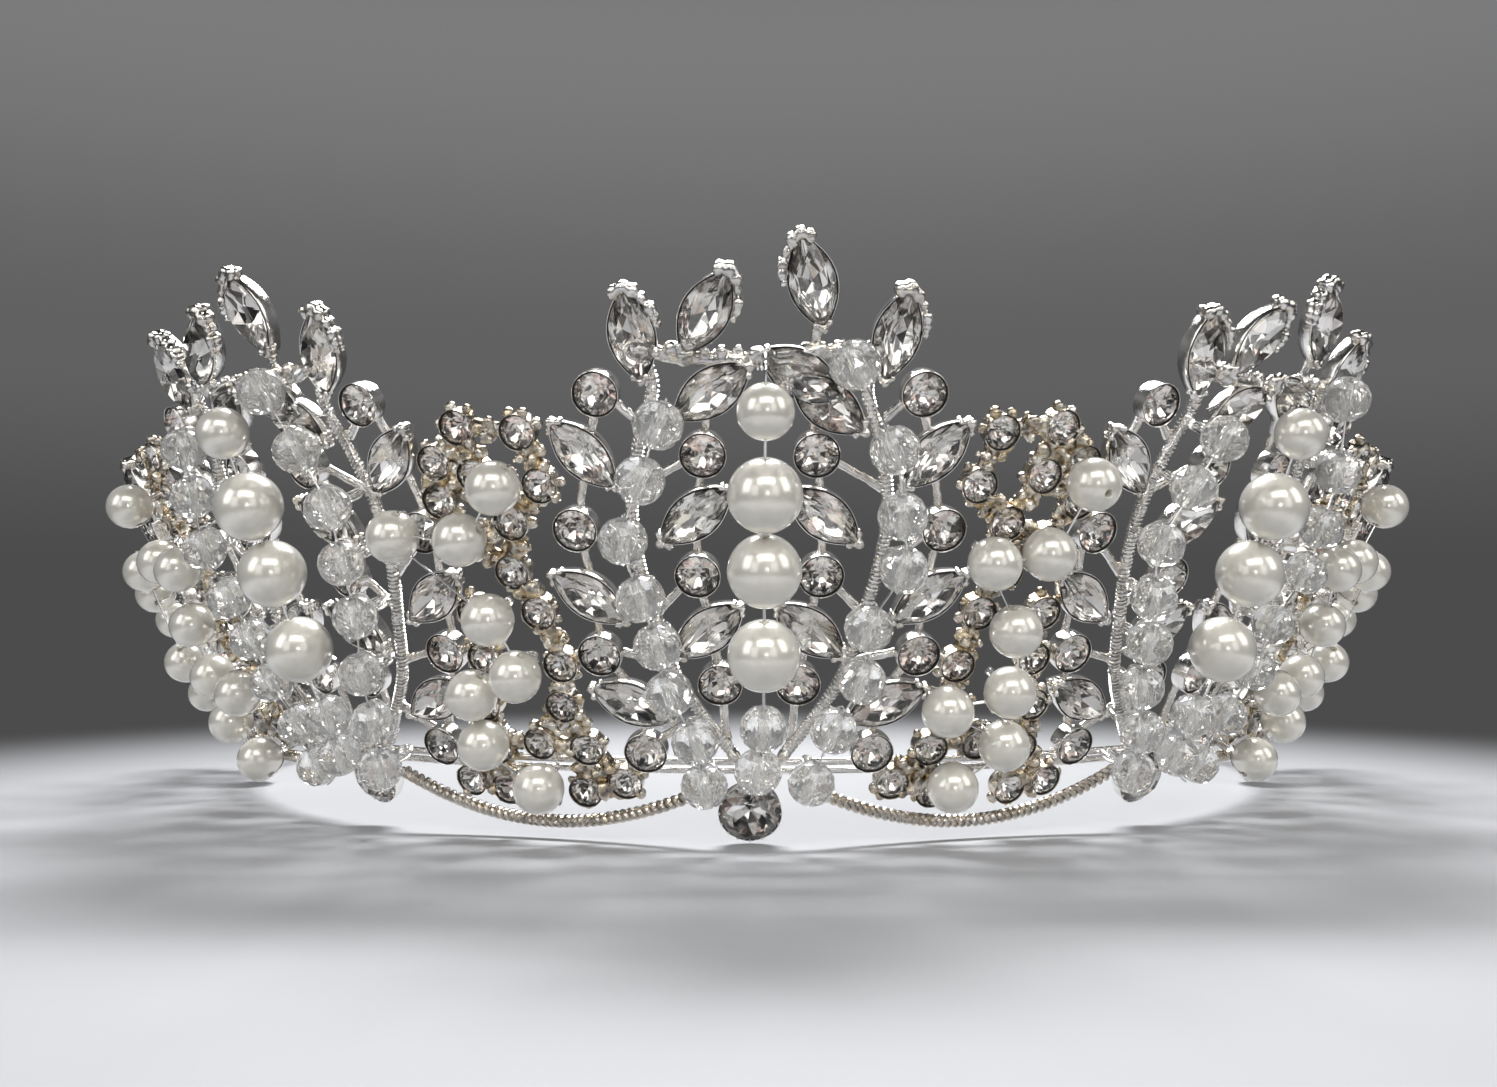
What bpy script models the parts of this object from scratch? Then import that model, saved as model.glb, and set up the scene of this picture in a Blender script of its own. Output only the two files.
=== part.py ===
"""Bridal tiara: silver-plated castings, pearls and crystals wired onto a leaning arc.

Lengths are in millimetres and become metres when a mesh is made.  The tiara stands on a
table at z = 0, facing -Y, with the middle of its width and depth at x = y = 0.  Places on it
are given on the leaning band: s runs along the base arc to the wearer's left, v up the lean,
w out in front.
"""
import math

import bmesh
import bpy
from mathutils import Matrix, Vector

MM = 0.001

# Band
BASE_RADIUS = 80.0          # radius of the base arc
LEAN = math.radians(23.5)   # outward lean of the whole face
BASE_HEIGHT = 2.5           # height of the base arc over the table
AXIS_DEPTH = 51.2           # from the middle of the depth back to the head's upright axis
MODULE_PITCH = 50.0         # arc length from one main motif to the next
BAND_HALF_LENGTH = 123.8
BAND_WIRE_RADIUS = 0.45
BAND_WIRE_FRONT = -1.7
BAND_WIRE_HEIGHTS = {"lower": 6.0, "upper": 7.2}

# Stones, beads and wire
STEM_RADIUS = 0.65
STEM_SIDES = 3              # cast stems are ridged, with a three-cornered section
CUP_RADIUS = 2.5
CUP_SIDES = 6
CUP_TURN = 7.0              # degrees, so that no flat of a cup lines up with a stem
CUP_DEPTH = (-0.9, 1.2)
CLAW_RADIUS = 2.0
CLAW_DEPTH = (-0.7, 1.1)
NAVETTE_LENGTH = 10.6
NAVETTE_WIDTH = 5.2
NAVETTE_DEPTH = (-0.8, 1.15)
PLATE_DEPTH = (-0.8, 0.2)
CREST_STONE_DEPTH = (1.0, 2.6)
DROP_CUP_RADIUS = 3.8
DROP_STONE_RADIUS = 3.5
DROP_CUP_DEPTH = (-0.7, 1.4)
DROP_STONE_DEPTH = (1.7, 2.9)
BEAD_RADIUS = 2.7
BEAD_FRONT = 4.6
SMALL_PEARL_RADIUS = 3.0
LARGE_PEARL_RADIUS = 4.0
SMALL_PEARL_FRONT = 4.6
PEARL_COLUMN = 0.4
PEARL_FRONT = 5.8
PEARL_BORE = 0.6
WIRE_RADIUS = 0.2
ROPE_RADIUS = 0.7
ROPE_FRONT = 0.3
TAB_LENGTH = 9.0
TAB_WIDTH = 6.4
TAB_DEPTH = (-2.1, -1.2)
TAB_HOLE_RADIUS = 1.3
TAB_HOLE_OFFSET = 1.6
FLAT_ANGLE = math.radians(1.0)   # faces of a casting that meet flatter than this are merged
STUB = 1.3                  # wire left past the last bead of a strand
BEAD_PROFILE = ((-0.5, 0.93), (0.5, 0.93))                  # rings as (along, across)
PEARL_PROFILE = ((-0.72, 0.69), (0.0, 1.0), (0.72, 0.69))

# Main motif, right half: cups and navettes are mirrored about its pearl column
MOTIF_CUPS = ((13.7, 52.7), (4.9, 45.8), (17.0, 37.4), (5.8, 31.9), (16.2, 22.2), (4.0, 18.6),
              (12.4, 9.7))
MOTIF_NAVETTES = ((5.8, 38.9, -38), (5.0, 25.2, -39), (15.4, 46.0, 49), (16.5, 29.3, 36),
                  (13.4, 16.0, 25))
MOTIF_STEMS = (
    ((2.8, 9.0), (5.4, 13.0), (8.6, 19.0), (10.2, 26.0), (11.5, 33.0), (11.7, 40.0),
     (10.5, 47.0), (9.0, 53.0), (9.9, 57.6)),
    ((12.4, 9.7), (13.4, 16.0), (16.2, 22.2), (16.5, 29.3), (17.0, 37.4), (15.4, 46.0),
     (13.7, 52.7)),
    ((4.0, 18.6), (5.0, 25.2), (5.8, 31.9), (5.8, 38.9), (4.9, 45.8), (4.4, 52.4), (3.6, 56.3)),
    ((4.0, 18.6), (3.6, 10.3)),
    ((5.8, 31.9), (10.3, 26.7)),
    ((4.9, 45.8), (11.5, 41.4)),
    ((17.0, 37.4), (11.2, 31.6)),
    ((12.4, 9.7), (6.0, 13.9)),
)
# Crest of the main motif, left and right: stones that aren't mirrored
MOTIF_CREST_STONES = ((-4.0, 52.7, 35), (3.3, 54.6, -29), (5.7, 51.3, -36))
MOTIF_CREST_BAR = ((-9.9, 57.4), (-6.2, 56.2), (0.2, 56.0), (3.6, 56.6), (9.9, 57.2))
MOTIF_CREST_STEM = ((4.4, 56.9), (4.6, 60.4))
# Foot that carries the drop; the side drops hang clear of the table, so theirs is higher
CENTRE_FOOT = (((-2.8, 9.0), (-1.6, 7.5), (1.6, 7.5), (2.8, 9.0)), ((-1.0, 7.5), (-1.0, 6.7)))
SIDE_FOOT = (((-2.8, 9.0), (0.0, 10.0), (2.8, 9.0)), ((0.0, 10.0), (0.0, 9.4)))
CREST_NAVETTES = ((-10.2, 58.8, 97), (-4.3, 61.1, 60), (4.0, 64.2, 106), (10.9, 58.8, 79))

# Pearls on the motif's upright wire: height and radius, top to bottom
COLUMN_PEARLS = ((52.0, SMALL_PEARL_RADIUS), (43.0, LARGE_PEARL_RADIUS),
                 (34.5, LARGE_PEARL_RADIUS), (24.6, LARGE_PEARL_RADIUS))
COLUMN_WIRE_TOP = ((57.8, 1.4), (57.8, 4.8), (56.9, PEARL_FRONT))
COLUMN_BEADS = ((0.4, 15.3), (-0.1, 9.8))

# Crystal beads on the two vines of a motif, bottom to top
VINE_LEFT = ((-5.7, 7.6), (-6.4, 13.3), (-8.7, 19.3), (-9.5, 25.1), (-10.7, 30.8), (-11.8, 37.5),
             (-9.9, 44.3), (-8.1, 50.3))
VINE_RIGHT = ((5.4, 8.0), (7.4, 14.7), (9.8, 20.9), (10.0, 27.3), (12.7, 34.2), (12.1, 40.3),
              (10.9, 47.6), (7.2, 56.6))
VINE_RIGHT_CLOSE = ((5.4, 8.0), (6.6, 14.5), (7.2, 21.0), (8.9, 28.5), (9.2, 35.2), (9.6, 42.0),
                    (8.0, 49.0), (6.0, 56.0))

# Lattice with claw-set stones, as it stands left of the centre motif
LATTICE_STONES = ((-1.8, 49.5), (3.9, 48.7), (-4.8, 45.6), (-1.0, 43.9), (5.2, 42.6), (-5.2, 41.0),
                  (1.8, 38.3), (-2.9, 36.2), (1.0, 32.4), (3.0, 27.4), (-4.2, 27.4), (4.4, 20.8),
                  (-4.2, 21.6), (3.9, 15.6), (-5.4, 15.6), (0.4, 10.6), (5.9, 10.0), (-5.2, 9.8),
                  (9.9, 5.6), (5.0, 4.3), (-4.9, 4.3), (-9.6, 5.2))
LATTICE_LINK = 6.9          # stones closer than this are joined by a bar
NEAR_LATTICE_FOOT = 0.0     # lowest stones of the lattices, near the centre and far from it
FAR_LATTICE_FOOT = 8.0
LATTICE_PEARLS_LEFT = ((2.2, 43.7), (-2.0, 37.8), (-8.9, 38.3), (-0.8, 28.2), (0.9, 21.2),
                       (-4.4, 18.7), (-4.4, 12.2), (1.1, 6.7))
LATTICE_PEARLS_RIGHT = ((4.2, 44.3), (1.3, 36.1), (-3.9, 34.9), (-0.5, 26.8), (0.2, 19.2),
                        (-6.1, 16.9), (0.8, 12.3), (-4.2, 7.0))

# End piece, as it stands at the wearer's left; s is measured from the outermost drop stone
END_CUPS = ((-13.0, 12.4), (-13.4, 24.0), (-12.6, 35.5), (-4.2, 17.0), (-3.8, 29.0), (4.0, 12.0),
            (4.3, 23.5), (12.0, 16.0), (19.4, 12.2))
END_NAVETTES = ((-11.6, 45.2, 86), (-3.4, 41.0, 80), (4.8, 36.0, 72), (12.8, 29.8, 66),
                (20.2, 23.0, 60))
END_STEMS = (
    ((-13.2, 8.2), (-4.4, 7.9), (4.2, 8.0), (12.1, 8.1), (19.6, 8.6)),
    ((-12.9, 8.0), (-13.0, 12.4), (-13.4, 24.0), (-12.6, 35.5), (-11.8, 42.0)),
    ((-4.0, 8.0), (-4.2, 17.0), (-3.8, 29.0), (-3.5, 38.0)),
    ((3.9, 8.1), (4.0, 12.0), (4.3, 23.5), (4.6, 33.0)),
    ((11.9, 8.2), (12.0, 16.0), (12.6, 26.8)),
    ((19.3, 8.5), (19.4, 12.2), (20.0, 20.0)),
    ((-12.8, 13.1), (-4.4, 16.6), (3.8, 12.5), (12.2, 15.6), (19.2, 12.7)),
    ((-13.2, 24.6), (-4.0, 28.5), (4.1, 23.9), (11.8, 16.8)),
)
END_STRAND = ((-8.2, 35.0), (-8.6, 20.5), (0.2, 19.8), (0.4, 31.5), (8.4, 27.0), (8.0, 14.2),
              (15.8, 20.4), (23.0, 17.2))

# Scalloped rope edge: lowest height and rise over 20 mm of arc, near and far
ROPE_NEAR = (-0.3, 5.4)
ROPE_FAR = (5.2, 1.4)
ROPE_HALF_LENGTH = 19.5
ROPE_UNIT = 20.0
ROPE_STEPS = 9


def band_point(s, v, w=0.0):
    """Point of the leaning band, in millimetres, measured from the head's upright axis."""
    reach = BASE_RADIUS + v * math.sin(LEAN) + w * math.cos(LEAN)
    height = BASE_HEIGHT + v * math.cos(LEAN) - w * math.sin(LEAN)
    angle = s / BASE_RADIUS
    return Vector((reach * math.sin(angle), -reach * math.cos(angle), height))


def band_axes(s):
    """Matrix whose columns run along the band, up its lean and out of its front."""
    angle = s / BASE_RADIUS
    side = Vector((math.cos(angle), math.sin(angle), 0.0))
    outward = Vector((math.sin(angle), -math.cos(angle), 0.0))
    rise = outward * math.sin(LEAN) + Vector((0.0, 0.0, math.cos(LEAN)))
    return Matrix((side, rise, side.cross(rise))).transposed()


def seat(s, v, turn=0.0):
    """Matrix that lays a flat shape on the band at s, v, turned by some degrees."""
    spin = Matrix.Rotation(math.radians(turn), 4, "Z")
    return Matrix.Translation(band_point(s, v)) @ band_axes(s).to_4x4() @ spin


def circle(radius, sides, centre=0.0):
    step = 2 * math.pi / sides
    return [(centre + radius * math.cos(step * (i + 0.5)), radius * math.sin(step * (i + 0.5)))
            for i in range(sides)]


def low_circle(radius, sides):
    """Circle with a corner at its lowest point, which is what rests on the table."""
    step = 2 * math.pi / sides
    return [(radius * math.sin(step * i), -radius * math.cos(step * i)) for i in range(sides)]


def pointed_oval(length, width, steps):
    """Navette outline along x, pointed at both ends."""
    top = []
    for i in range(steps):
        t = 2 * i / steps - 1
        top.append((-t * length / 2, (1 - t * t) * width / 2))
    return top + [(-x, -y) for x, y in top]


def stadium(length, width, sides):
    """Long outline with round ends, one point for each side of a circle."""
    flat = (length - width) / 2
    return [(x + math.copysign(flat, x), y) for x, y in circle(width / 2, sides)]


def add_prism(bm, outline, depth, matrix):
    """Closed plate with the given outline, from its back depth to its front depth."""
    back = [bm.verts.new(matrix @ Vector((x, y, depth[0]))) for x, y in outline]
    front = [bm.verts.new(matrix @ Vector((x, y, depth[1]))) for x, y in outline]
    bm.faces.new(back[::-1])
    bm.faces.new(front)
    for i in range(len(outline)):
        j = (i + 1) % len(outline)
        bm.faces.new((back[i], back[j], front[j], front[i]))


def add_rings(bm, rings, sides):
    """Closed tube through rings, each a centre, a direction and a radius."""
    reference = Vector((0.31, 0.17, 0.93))
    loops = []
    for centre, direction, radius in rings:
        direction = direction.normalized()
        reference = (reference - direction * reference.dot(direction)).normalized()
        across = direction.cross(reference)
        loop = []
        for i in range(sides):
            angle = 2 * math.pi * i / sides
            offset = reference * math.cos(angle) + across * math.sin(angle)
            loop.append(bm.verts.new(centre + offset * radius))
        loops.append(loop)
    bm.faces.new(loops[0][::-1])
    bm.faces.new(loops[-1])
    for low, high in zip(loops, loops[1:]):
        for i in range(sides):
            j = (i + 1) % sides
            bm.faces.new((low[i], low[j], high[j], high[i]))


def path_rings(points, radius):
    """Rings of one radius along a polyline."""
    rings = []
    for i, point in enumerate(points):
        ahead = points[min(i + 1, len(points) - 1)]
        behind = points[max(i - 1, 0)]
        rings.append((point, ahead - behind, radius))
    return rings


def add_stem(bm, places):
    """Cast stem through places (s, v) of the band."""
    points = [band_point(s, v) for s, v in places]
    add_rings(bm, path_rings(points, STEM_RADIUS), STEM_SIDES)


def strand_rings(centres, radius, profile):
    """Rings of beads on a common wire: profile lists (along, across) in bead radii."""
    rings = []
    for i, centre in enumerate(centres):
        before = centres[i - 1] if i else centre * 2 - centres[1]
        after = centres[i + 1] if i + 1 < len(centres) else centre * 2 - centres[-2]
        axis = ((centre - before).normalized() + (after - centre).normalized()).normalized()
        if i == 0:
            rings.append((centre - axis * (radius + STUB), axis, WIRE_RADIUS))
        else:
            rings.append(((before + centre) / 2, centre - before, WIRE_RADIUS))
        for along, across in profile:
            rings.append((centre + axis * radius * along, axis, radius * across))
    rings.append((centre + axis * (radius + STUB), axis, WIRE_RADIUS))
    return rings


def new_mesh(name, bm):
    """Mesh in metres from shapes made in millimetres."""
    bmesh.ops.scale(bm, vec=(MM, MM, MM), verts=bm.verts)
    mesh = bpy.data.meshes.new(name)
    bm.to_mesh(mesh)
    bm.free()
    return mesh


def fuse(name, first, rest):
    """One closed body from overlapping shells, by a Boolean union."""
    body = bpy.data.objects.new(name + "_body", new_mesh(name + "_body", first))
    shells = bpy.data.objects.new(name + "_shells", new_mesh(name + "_shells", rest))
    for item in (body, shells):
        bpy.context.scene.collection.objects.link(item)
    union = body.modifiers.new("union", "BOOLEAN")
    union.operation = "UNION"
    union.solver = "EXACT"
    union.use_self = True
    union.object = shells
    bpy.context.view_layer.update()
    depsgraph = bpy.context.evaluated_depsgraph_get()
    fused = bpy.data.meshes.new_from_object(body.evaluated_get(depsgraph))
    fused.name = name
    bpy.data.objects.remove(body)
    bpy.data.objects.remove(shells)
    clean = bmesh.new()
    clean.from_mesh(fused)
    bmesh.ops.dissolve_limit(clean, angle_limit=FLAT_ANGLE, verts=clean.verts, edges=clean.edges)
    clean.to_mesh(fused)
    clean.free()
    return fused


def material(name, colour, roughness, metallic):
    made = bpy.data.materials.new(name)
    made.use_nodes = True
    shader = made.node_tree.nodes["Principled BSDF"]
    shader.inputs["Base Color"].default_value = (*colour, 1.0)
    shader.inputs["Roughness"].default_value = roughness
    shader.inputs["Metallic"].default_value = metallic
    return made


FINISHES = {
    "silver": ((0.86, 0.85, 0.82), 0.16, 1.0),
    "tarnished_silver": ((0.78, 0.73, 0.62), 0.24, 1.0),
    "pearl": ((0.93, 0.91, 0.85), 0.18, 0.0),
    "crystal": ((0.88, 0.90, 0.90), 0.04, 0.0),
    "rhinestone": ((0.82, 0.76, 0.76), 0.05, 0.3),
}


def add_piece(name, mesh, finish, axis, module=0.0, smooth=False):
    """Object on the head's upright axis, turned to its module's place on the arc."""
    piece = bpy.data.objects.new(name, mesh)
    bpy.context.scene.collection.objects.link(piece)
    piece.parent = axis
    piece.rotation_euler.z = module / BASE_RADIUS
    if not mesh.materials:
        mesh.materials.append(material(name, *FINISHES[finish]))
    if smooth:
        mesh.shade_smooth()
        mesh.set_sharp_from_angle(angle=math.radians(50))
    return piece


def mirrored(places):
    return [(-place[0], place[1], *[180 - turn for turn in place[2:]]) for place in places]


def motif_frame(name, foot, crest_depth):
    """Main motif casting: stems, cups, navette settings and the crest."""
    first = bmesh.new()
    rest = bmesh.new()
    add_stem(first, MOTIF_CREST_BAR)
    for bar in (*foot, MOTIF_CREST_STEM):
        add_stem(rest, bar)
    for stem in MOTIF_STEMS:
        add_stem(rest, stem)
        add_stem(rest, mirrored(stem))
    for s, v in (*MOTIF_CUPS, *mirrored(MOTIF_CUPS)):
        add_prism(rest, circle(CUP_RADIUS, CUP_SIDES), CUP_DEPTH, seat(s, v, CUP_TURN))
    outline = pointed_oval(NAVETTE_LENGTH, NAVETTE_WIDTH, 3)
    for s, v, turn in (*MOTIF_NAVETTES, *mirrored(MOTIF_NAVETTES), *MOTIF_CREST_STONES):
        add_prism(rest, outline, NAVETTE_DEPTH, seat(s, v, turn))
    for s, v, turn in CREST_NAVETTES:
        add_prism(rest, outline, crest_depth, seat(s, v, turn))
    return fuse(name, first, rest)


def lattice_frame(name, side, foot):
    """Openwork casting of claw settings joined by short bars."""
    first = bmesh.new()
    rest = bmesh.new()
    places = [(side * s, v) for s, v in LATTICE_STONES if v > foot]
    for i, (s, v) in enumerate(places):
        add_prism(first if i == 0 else rest, circle(CLAW_RADIUS, 6), CLAW_DEPTH, seat(s, v))
    for i, here in enumerate(places):
        for there in places[i + 1:]:
            if (band_point(*here) - band_point(*there)).length < LATTICE_LINK:
                add_stem(rest, (here, there))
    return fuse(name, first, rest)


def end_frame(name, side):
    """End casting, tapering down to the tab; the left one is the right one's mirror image."""
    first = bmesh.new()
    rest = bmesh.new()
    for i, stem in enumerate(END_STEMS):
        add_stem(first if i == 0 else rest, stem)
    for s, v in END_CUPS:
        add_prism(rest, circle(CUP_RADIUS, CUP_SIDES), CUP_DEPTH, seat(s, v, CUP_TURN))
    outline = pointed_oval(NAVETTE_LENGTH, NAVETTE_WIDTH, 3)
    for s, v, turn in END_NAVETTES:
        add_prism(rest, outline, NAVETTE_DEPTH, seat(s, v, turn))
    mesh = fuse(name, first, rest)
    if side < 0:
        mesh.transform(Matrix.Scale(-1.0, 4, (1.0, 0.0, 0.0)))
        mesh.flip_normals()
    return mesh


def strand(name, places, radius, front, profile, sides):
    """Beads or pearls tied down by one binding wire, as a single body."""
    bm = bmesh.new()
    centres = [band_point(s, v, front) for s, v in places]
    add_rings(bm, strand_rings(centres, radius, profile), sides)
    return new_mesh(name, bm)


def column_wire(name):
    """Upright wire that the motif's pearls turn on, with two beads at its foot."""
    bm = bmesh.new()
    route = [band_point(PEARL_COLUMN, v, w) for v, w in COLUMN_WIRE_TOP]
    foot = COLUMN_PEARLS[-1][0] - LARGE_PEARL_RADIUS - 0.5
    route.append(band_point(PEARL_COLUMN, foot, PEARL_FRONT))
    centres = [band_point(s, v, BEAD_FRONT + 0.5) for s, v in COLUMN_BEADS]
    beads = strand_rings(centres, BEAD_RADIUS, BEAD_PROFILE)[1:]
    add_rings(bm, path_rings(route, WIRE_RADIUS) + beads, 6)
    return new_mesh(name, bm)


def drilled_pearl(name, radius):
    """Round pearl with a straight bore along z, centred on its own origin."""
    bm = bmesh.new()
    sides = 10
    steps = 5
    start = math.asin(PEARL_BORE / radius)
    loops = []
    for k in range(steps + 1):
        angle = start + (math.pi - 2 * start) * k / steps
        ring = [(radius * math.sin(angle) * math.cos(2 * math.pi * i / sides),
                 radius * math.sin(angle) * math.sin(2 * math.pi * i / sides),
                 radius * math.cos(angle)) for i in range(sides)]
        loops.append([bm.verts.new(corner) for corner in ring])
    for k, upper in enumerate(loops):
        lower = loops[(k + 1) % len(loops)]
        for i in range(sides):
            j = (i + 1) % sides
            bm.faces.new((upper[i], lower[i], lower[j], upper[j]))
    return new_mesh(name, bm)


def rope_edge(name, shape):
    """Scalloped lower edge between two motifs."""
    bm = bmesh.new()
    lowest, rise = shape
    points = []
    for i in range(ROPE_STEPS + 1):
        s = ROPE_HALF_LENGTH * (2 * i / ROPE_STEPS - 1)
        points.append(band_point(s, lowest + rise * (s / ROPE_UNIT) ** 2, ROPE_FRONT))
    add_rings(bm, path_rings(points, ROPE_RADIUS), 6)
    return new_mesh(name, bm)


def band_wire(name, height):
    """One of the two wires that run behind the castings from end to end."""
    bm = bmesh.new()
    steps = 22
    points = [band_point(BAND_HALF_LENGTH * (2 * i / steps - 1), height, BAND_WIRE_FRONT)
              for i in range(steps + 1)]
    add_rings(bm, path_rings(points, BAND_WIRE_RADIUS), 6)
    return new_mesh(name, bm)


def end_tab(name, side):
    """Flat end of the band with a hole for a hairpin or a ribbon."""
    bm = bmesh.new()
    sides = 16
    s = side * (BAND_HALF_LENGTH + 0.4 + TAB_LENGTH / 2 * BASE_RADIUS / (BASE_RADIUS + 2.6))
    height = sum(BAND_WIRE_HEIGHTS.values()) / 2
    matrix = seat(s, height)
    outer = stadium(TAB_LENGTH, TAB_WIDTH, sides)
    inner = circle(TAB_HOLE_RADIUS, sides, side * TAB_HOLE_OFFSET)
    back, front = TAB_DEPTH
    loops = []
    for outline, depth in ((outer, back), (outer, front), (inner, front), (inner, back)):
        loops.append([bm.verts.new(matrix @ Vector((x, y, depth))) for x, y in outline])
    for k, loop in enumerate(loops):
        following = loops[(k + 1) % len(loops)]
        for i in range(sides):
            j = (i + 1) % sides
            bm.faces.new((loop[i], loop[j], following[j], following[i]))
    return new_mesh(name, bm)


def disc(name, place, radius, depth):
    """Round cup or stone of a drop, standing on its lowest corner."""
    bm = bmesh.new()
    add_prism(bm, low_circle(radius, 12), depth, seat(*place))
    return new_mesh(name, bm)


def bevelled_stone(name, place):
    """Drop stone: a girdle and a smaller flat table in front."""
    bm = bmesh.new()
    matrix = seat(*place)
    back, front = DROP_STONE_DEPTH
    middle = (back + front) / 2
    loops = []
    for radius, depth in ((DROP_STONE_RADIUS, back), (DROP_STONE_RADIUS, middle),
                          (DROP_STONE_RADIUS * 0.6, front)):
        outline = low_circle(radius, 12)
        loops.append([bm.verts.new(matrix @ Vector((x, y, depth))) for x, y in outline])
    bm.faces.new(loops[0][::-1])
    bm.faces.new(loops[-1])
    for low, high in zip(loops, loops[1:]):
        for i in range(12):
            j = (i + 1) % 12
            bm.faces.new((low[i], low[j], high[j], high[i]))
    return new_mesh(name, bm)


def drop_height(clearance):
    """Height v of a drop whose cup and stone stay this far above the table."""
    middle = (DROP_STONE_DEPTH[0] + DROP_STONE_DEPTH[1]) / 2
    stone = DROP_STONE_RADIUS + middle * math.tan(LEAN)
    cup = DROP_CUP_RADIUS + DROP_CUP_DEPTH[1] * math.tan(LEAN)
    return max(stone, cup) + (clearance - BASE_HEIGHT) / math.cos(LEAN)


def add_band(axis):
    for level, height in BAND_WIRE_HEIGHTS.items():
        name = "band_wire_" + level
        add_piece(name, band_wire(name, height), "silver", axis, smooth=True)
    for side, label in ((-1, "left"), (1, "right")):
        name = "end_tab_" + label
        add_piece(name, end_tab(name, side), "silver", axis)
    for label, module, shape in (("far_left", -75, ROPE_FAR), ("left", -25, ROPE_NEAR),
                                 ("right", 25, ROPE_NEAR), ("far_right", 75, ROPE_FAR)):
        name = "rope_edge_" + label
        add_piece(name, rope_edge(name, shape), "silver", axis, module, smooth=True)


def add_castings(axis):
    plate = motif_frame("motif_frame_centre", CENTRE_FOOT, PLATE_DEPTH)
    add_piece("motif_frame_centre", plate, "silver", axis)
    side_mesh = motif_frame("motif_frame_side", SIDE_FOOT, NAVETTE_DEPTH)
    add_piece("motif_frame_left", side_mesh, "silver", axis, -MODULE_PITCH)
    add_piece("motif_frame_right", side_mesh, "silver", axis, MODULE_PITCH)
    for label, module, side, foot in (("far_left", -1.5, -1, FAR_LATTICE_FOOT),
                                      ("left", -0.5, 1, NEAR_LATTICE_FOOT),
                                      ("right", 0.5, -1, NEAR_LATTICE_FOOT),
                                      ("far_right", 1.5, 1, FAR_LATTICE_FOOT)):
        name = "lattice_frame_" + label
        mesh = lattice_frame(name, side, foot)
        add_piece(name, mesh, "tarnished_silver", axis, module * MODULE_PITCH)
    for side, label in ((-1, "left"), (1, "right")):
        name = "end_frame_" + label
        add_piece(name, end_frame(name, side), "silver", axis, side * 2 * MODULE_PITCH)
    for i, (s, v, turn) in enumerate(CREST_NAVETTES):
        bm = bmesh.new()
        outline = pointed_oval(NAVETTE_LENGTH - 0.6, NAVETTE_WIDTH - 0.4, 4)
        add_prism(bm, outline, CREST_STONE_DEPTH, seat(s, v, turn))
        name = "crest_navette_%d" % (i + 1)
        add_piece(name, new_mesh(name, bm), "rhinestone", axis)


def add_drops(axis):
    for label, module in (("far_left", -2), ("left", -1), ("centre", 0), ("right", 1),
                          ("far_right", 2)):
        clearance = 2.5 if abs(module) == 1 else 0.0
        place = (-1.0 if module == 0 else 0.0, drop_height(clearance))
        cup = disc("drop_cup_" + label, place, DROP_CUP_RADIUS, DROP_CUP_DEPTH)
        stone = bevelled_stone("drop_stone_" + label, place)
        add_piece("drop_cup_" + label, cup, "silver", axis, module * MODULE_PITCH)
        add_piece("drop_stone_" + label, stone, "rhinestone", axis, module * MODULE_PITCH)


def add_strands(axis):
    small = (SMALL_PEARL_RADIUS, SMALL_PEARL_FRONT, PEARL_PROFILE, 6)
    crystal = (BEAD_RADIUS, BEAD_FRONT, BEAD_PROFILE, 6)
    mirror_left = [(-s, v) for s, v in LATTICE_PEARLS_RIGHT]
    for label, module, places in (("far_left", -1.5, mirror_left),
                                  ("left", -0.5, LATTICE_PEARLS_LEFT),
                                  ("right", 0.5, LATTICE_PEARLS_RIGHT),
                                  ("far_right", 1.5, LATTICE_PEARLS_RIGHT)):
        name = "lattice_pearls_" + label
        add_piece(name, strand(name, places, *small), "pearl", axis, module * MODULE_PITCH)
    for side, label in ((-1, "left"), (1, "right")):
        name = "end_pearls_" + label
        places = [(side * s, v) for s, v in END_STRAND]
        add_piece(name, strand(name, places, *small), "pearl", axis, side * 2 * MODULE_PITCH)
    for label, module in (("left", -1), ("centre", 0), ("right", 1)):
        right_vine = VINE_RIGHT_CLOSE if module == -1 else VINE_RIGHT
        for half, places in (("a", VINE_LEFT), ("b", right_vine)):
            name = "crystal_vine_%s_%s" % (label, half)
            add_piece(name, strand(name, places, *crystal), "crystal", axis,
                      module * MODULE_PITCH)


def add_pearl_columns(axis):
    for label, module in (("left", -1), ("centre", 0), ("right", 1)):
        name = "pearl_wire_" + label
        add_piece(name, column_wire(name), "silver", axis, module * MODULE_PITCH)
        turn = Matrix.Rotation(module * MODULE_PITCH / BASE_RADIUS, 4, "Z")
        lean = Matrix.Rotation(LEAN, 4, "X")
        for i, (height, radius) in enumerate(COLUMN_PEARLS):
            name = "pearl_%s_%d" % (label, i + 1)
            pearl = add_piece(name, drilled_pearl(name, radius), "pearl", axis, smooth=True)
            centre = band_point(PEARL_COLUMN, height, PEARL_FRONT) * MM
            face = Matrix.Rotation(PEARL_COLUMN / BASE_RADIUS, 4, "Z")
            pearl.matrix_local = turn @ Matrix.Translation(centre) @ face @ lean


def main():
    for item in list(bpy.data.objects):
        bpy.data.objects.remove(item)
    axis = bpy.data.objects.new("head_axis", None)
    axis.location.y = AXIS_DEPTH * MM
    bpy.context.scene.collection.objects.link(axis)
    add_band(axis)
    add_castings(axis)
    add_drops(axis)
    add_strands(axis)
    add_pearl_columns(axis)


main()
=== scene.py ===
import math
import random

import bmesh
import bpy
from mathutils import Matrix, Vector, noise


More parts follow.
